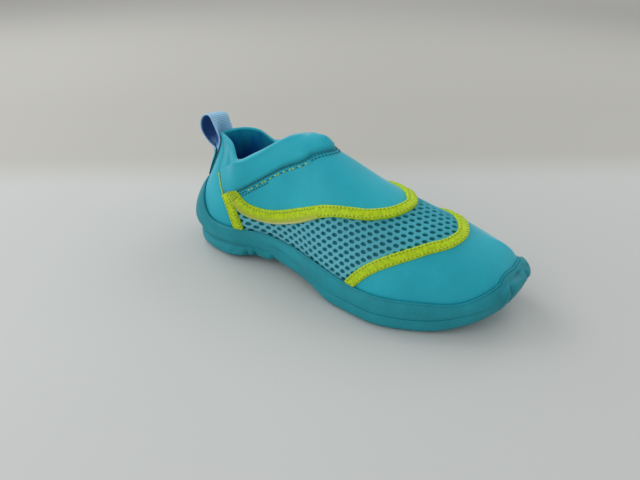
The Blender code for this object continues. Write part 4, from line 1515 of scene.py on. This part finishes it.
def wallMarks(q, share):
    depth = np.zeros(np.broadcast(q, share).shape)
    for middle, width, height, spread, deep in wallMarkRows:
        away = (q - middle + lastRow) % fullRound - lastRow
        depth = depth + deep * np.exp(-(away / width) ** 2 - ((share - height) / spread) ** 2)
    return soleForm["markShare"] * depth


def underColumns(q):
    # The underside from its middle out, its rounded edge and the ledge's side
    spine, edge = spinePoint(q, floorHeight), soleEdge(q, np.full(q.shape, edgeRound))
    columns = []
    for share in np.linspace(0, 1, soleForm["underSteps"]):
        point = spine + (edge - spine) * share
        point[:, 2] = underHeight(point)
        point[:, 2] += treadDepth(point) * ease((1 - share) / 0.08)
        columns.append(point)
    angles = np.linspace(0, math.pi / 2, soleForm["edgeSteps"])[1:]
    lifts = [*(soleForm["edgeShare"] * (1 - np.cos(angles))),
             *np.linspace(soleForm["edgeShare"], 1.0, soleForm["ledgeSteps"])[1:]]
    insets = [*(edgeRound * (1 - np.sin(angles))), *np.zeros(soleForm["ledgeSteps"] - 1)]
    for lift, inset in zip(lifts, insets):
        point = soleEdge(q, inset - toeLug(q, 0 * q) * lift + wallMarks(q, lift * 0.4))
        point[:, 2] = underHeight(point) + ledgeHeight * lift
        columns.append(point)
    return columns


def wallColumns(q, ledge, top):
    # The side wall from the ledge to the lip, and how much painted shade each point gets for lying in a
    # hollow
    shown = forefootShare(q)
    thickLow = soleEdgeWidth - gap - ledgeStep * shown
    columns, hollowShades = [], []
    for share in np.concatenate([[0.0, 0.02], np.linspace(0.05, 0.93, soleForm["wallSteps"])]):
        height = ledge + (top - ledge) * share + (soleForm["ledgeOverlap"] if share == 0 else 0)
        v = vAtHeight(q, height)
        thick = thickLow + (soleLip - thickLow) * share
        fromLine = (share - soleForm["lineAt"]) / soleForm["lineSpread"]
        line = soleForm["lineDepth"] * math.exp(-fromLine ** 2)
        swell = soleForm["bulge"] * math.sin(math.pi * share) - line * shown
        marks = wallMarks(q, 0.4 + share * 0.6)
        out = gap + thick + swell - marks + toeLug(q, share)
        point = onUpper(q, v) + normalOnUpper(q, v) * out[:, None]
        point[:, 2] = height
        columns.append(point)
        hollowShades.append(np.clip(0.4 * toeHollow(q, share) + 500 * np.maximum(marks, 0), 0, 0.8))
    return columns, hollowShades


def insideColumns(q, top):
    # Over the rounded lip, down behind the upper and in across the footbed
    lipV = vAtHeight(q, top)
    lipPlace, lipNormal = onUpper(q, lipV), normalOnUpper(q, lipV)
    columns = []
    for angle in np.linspace(0, math.pi, soleForm["lipSteps"] + 1):
        point = lipPlace + lipNormal * (gap + soleLip / 2 * (1 + math.cos(angle)))
        point[:, 2] = top - soleLip * soleForm["lipRound"] * (1 - math.sin(angle))
        columns.append(point)
    for share in (0.7, 0.35, 0.0):
        columns.append(onUpper(q, lipV * share) + normalOnUpper(q, lipV * share) * gap)
    corner = soleEdge(q, np.full(q.shape, soleEdgeWidth - gap))
    corner[:, 2] = footbedHeight(corner[:, 0])
    middle = spinePoint(q, footbedHeight)
    inside = (corner + middle) / 2
    inside[:, 2] = footbedHeight(inside[:, 0])
    return [*columns, corner, inside, middle]


def makeOutsole():
    q = evenRing(soleForm["ringSteps"])
    top = wallTop(q) + toeEdgeStep(q)
    under = underColumns(q)
    wall, hollowShades = wallColumns(q, under[-1][:, 2], top)
    points = np.stack(under + wall + insideColumns(q, top), axis=1)
    hollowShade = np.zeros(points.shape[:2])
    hollowShade[:, len(under):len(under) + len(wall)] = np.stack(hollowShades, axis=1)
    bm = bmesh.new()
    hollowShadeLayer = bm.verts.layers.float.new("hollowShade")
    addGrid(bm, closeRound(points), {hollowShadeLayer: closeRound(hollowShade)})
    closeSeams(bm)
    return newObject("outsole_rubber", bm, soleRubber, 50)


outsole = makeOutsole()
print("outsole ready")


# Insole: cloth-faced foam on the footbed that rolls down at its edge

insoleSteps = 240
insoleRows = [
    # share of the way out, drop below the face
    (0.0, 0.0), (0.2, 0.0), (0.4, 0.0), (0.6, 0.0), (0.8, 0.0), (0.92, 0.0), (0.97, 0.0003), (1.0, 0.0010),
    (1.0, insoleThickness), (0.5, insoleThickness), (0.0, insoleThickness),
]


def makeInsole():
    q = evenRing(insoleSteps)
    edge = soleEdge(q, np.full(q.shape, soleEdgeWidth + upperWall + 2 * gap))
    middle = spinePoint(q, footbedHeight)
    columns = []
    for share, drop in insoleRows:
        point = middle + (edge - middle) * share
        point[:, 2] = footbedHeight(point[:, 0]) + gap + insoleThickness - drop
        columns.append(point)
    bm = bmesh.new()
    addGrid(bm, closeRound(np.stack(columns, axis=1)))
    closeSeams(bm)
    return newObject("insole_cloth", bm, insoleCloth, 50)


insole = makeInsole()
print("insole ready")

pieceSlots = {
    upperShell: "neoprene", upperLining: "neoprene", meshPanel: "neoprene", cuffBand: "cuff_cloth",
    vampTape: "lime_tape", toeTape: "lime_tape",
    heelTapes["outer"]: "lime_tape", heelTapes["inner"]: "lime_tape",
    tapeStitches: "lime_tape", tapeHoles: "lime_tape",
    cuffLimeStitches: "lime_tape", cuffTealStitches: "cuff_cloth",
    pullLoop: "webbing", outsole: "sole_rubber", insole: "insole_foam",
}
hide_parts("upper")
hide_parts("collar_cuff")
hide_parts("vamp_tape")
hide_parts("toe_tape")
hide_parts("heel_tape_outer")
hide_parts("heel_tape_inner")
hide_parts("pull_loop")
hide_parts("outsole")
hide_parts("insole")


# Camera, light and floor

photoView = {"azimuth": 29.8255, "elevation": 30.8014, "roll": 1.1132, "distance": 0.3274, "lens": 28.876,
             "target": (-0.0198, 0.0045, 0.0116)}


def makeCamera():
    azimuth, elevation = math.radians(photoView["azimuth"]), math.radians(photoView["elevation"])
    back = Vector((math.sin(azimuth) * math.cos(elevation), -math.cos(azimuth) * math.cos(elevation),
                   math.sin(elevation)))
    data = bpy.data.cameras.new("camera")
    data.lens = photoView["lens"]
    data.sensor_width = 36
    data.clip_start = 0.01
    camera = linked("camera", data)
    camera.location = Vector(photoView["target"]) + back * photoView["distance"]
    turn = (-back).to_track_quat("-Z", "Y") @ Quaternion((0, 0, 1), math.radians(photoView["roll"]))
    camera.rotation_mode = "QUATERNION"
    camera.rotation_quaternion = turn
    bpy.context.scene.camera = camera


lightRows = {
    # place, watts
    "leftLight": ((-0.781, -0.447, 0.55), 1.7),
    "leftBackLight": ((-0.869, 0.236, 0.80), 3.1),
    "frontLight": ((-0.236, -0.869, 0.55), 1.7),
    "rightLight": ((0.781, 0.447, 0.55), 1.0),
    "backLight": ((0.236, 0.869, 0.80), 1.8),
}


lightForm = {"size": 0.8, "aim": (0, 0, 0.02), "world": 0.46}
floorForm = {
    "size": 3.0,
    "height": -0.0002,
    "roughness": 0.60,
    "cloudScale": 2.2,
    "away": (-0.57, 0.822, 0),
    "behind": (0.12, 0.20),
    "far": (0.35, 1.60),
}


def makeLight(name, spot, watts):
    data = bpy.data.lights.new(name, "AREA")
    data.energy = watts
    data.shape = "DISK"
    data.size = lightForm["size"]
    light = linked(name, data)
    light.location = spot
    light.rotation_euler = (Vector(lightForm["aim"]) - Vector(spot)).to_track_quat("-Z", "Y").to_euler()


def rangeNode(nodes, links, value, ends, interpolation="LINEAR"):
    # 0 to 1 as the value runs from one end to the other
    share = nodes.new("ShaderNodeMapRange")
    share.interpolation_type = interpolation
    share.inputs["From Min"].default_value, share.inputs["From Max"].default_value = ends
    links.new(value, share.inputs["Value"])
    return share.outputs["Result"]


def floorMaterial():
    # The floor turns a little warmer and darker behind the shoe and lighter far off, as in the photo
    paint, nodes, links, shader = newMaterial("floorPaint")
    coordinates = nodes.new("ShaderNodeTexCoord")
    away = nodes.new("ShaderNodeVectorMath")
    away.operation = "DOT_PRODUCT"
    away.inputs[1].default_value = floorForm["away"]
    links.new(coordinates.outputs["Object"], away.inputs[0])
    behind = rangeNode(nodes, links, away.outputs["Value"], floorForm["behind"], "SMOOTHSTEP")
    far = rangeNode(nodes, links, away.outputs["Value"], floorForm["far"])
    cloud = noiseNode(nodes, links, floorForm["cloudScale"], 2)
    near = rampNode(nodes, links, cloud, [(0.3, colours["floorLow"]), (0.7, colours["floorHigh"])])
    backdrop = mixNode(nodes, links, far, colours["backdropNear"], colours["backdropFar"])
    links.new(mixNode(nodes, links, behind, near, backdrop), shader.inputs["Base Color"])
    shader.inputs["Roughness"].default_value = floorForm["roughness"]
    return paint


def makeSurroundings():
    bm = bmesh.new()
    bmesh.ops.create_grid(bm, x_segments=1, y_segments=1, size=floorForm["size"])
    mesh = bpy.data.meshes.new("floor")
    bm.to_mesh(mesh)
    bm.free()
    mesh.materials.append(floorMaterial())
    floor = linked("floor", mesh)
    floor.location.z = floorForm["height"]
    world = bpy.data.worlds.new("world")
    world.use_nodes = True
    background = world.node_tree.nodes["Background"]
    background.inputs["Color"].default_value = (1.0, 1.0, 1.0, 1)
    background.inputs["Strength"].default_value = lightForm["world"]
    bpy.context.scene.world = world
    bpy.context.scene.view_settings.view_transform = "Standard"


makeCamera()
makeSurroundings()
for lightName, (spot, watts) in lightRows.items():
    makeLight(lightName, spot, watts)
print("surroundings ready")

for piece, slotName in pieceSlots.items():
    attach(piece, "root")
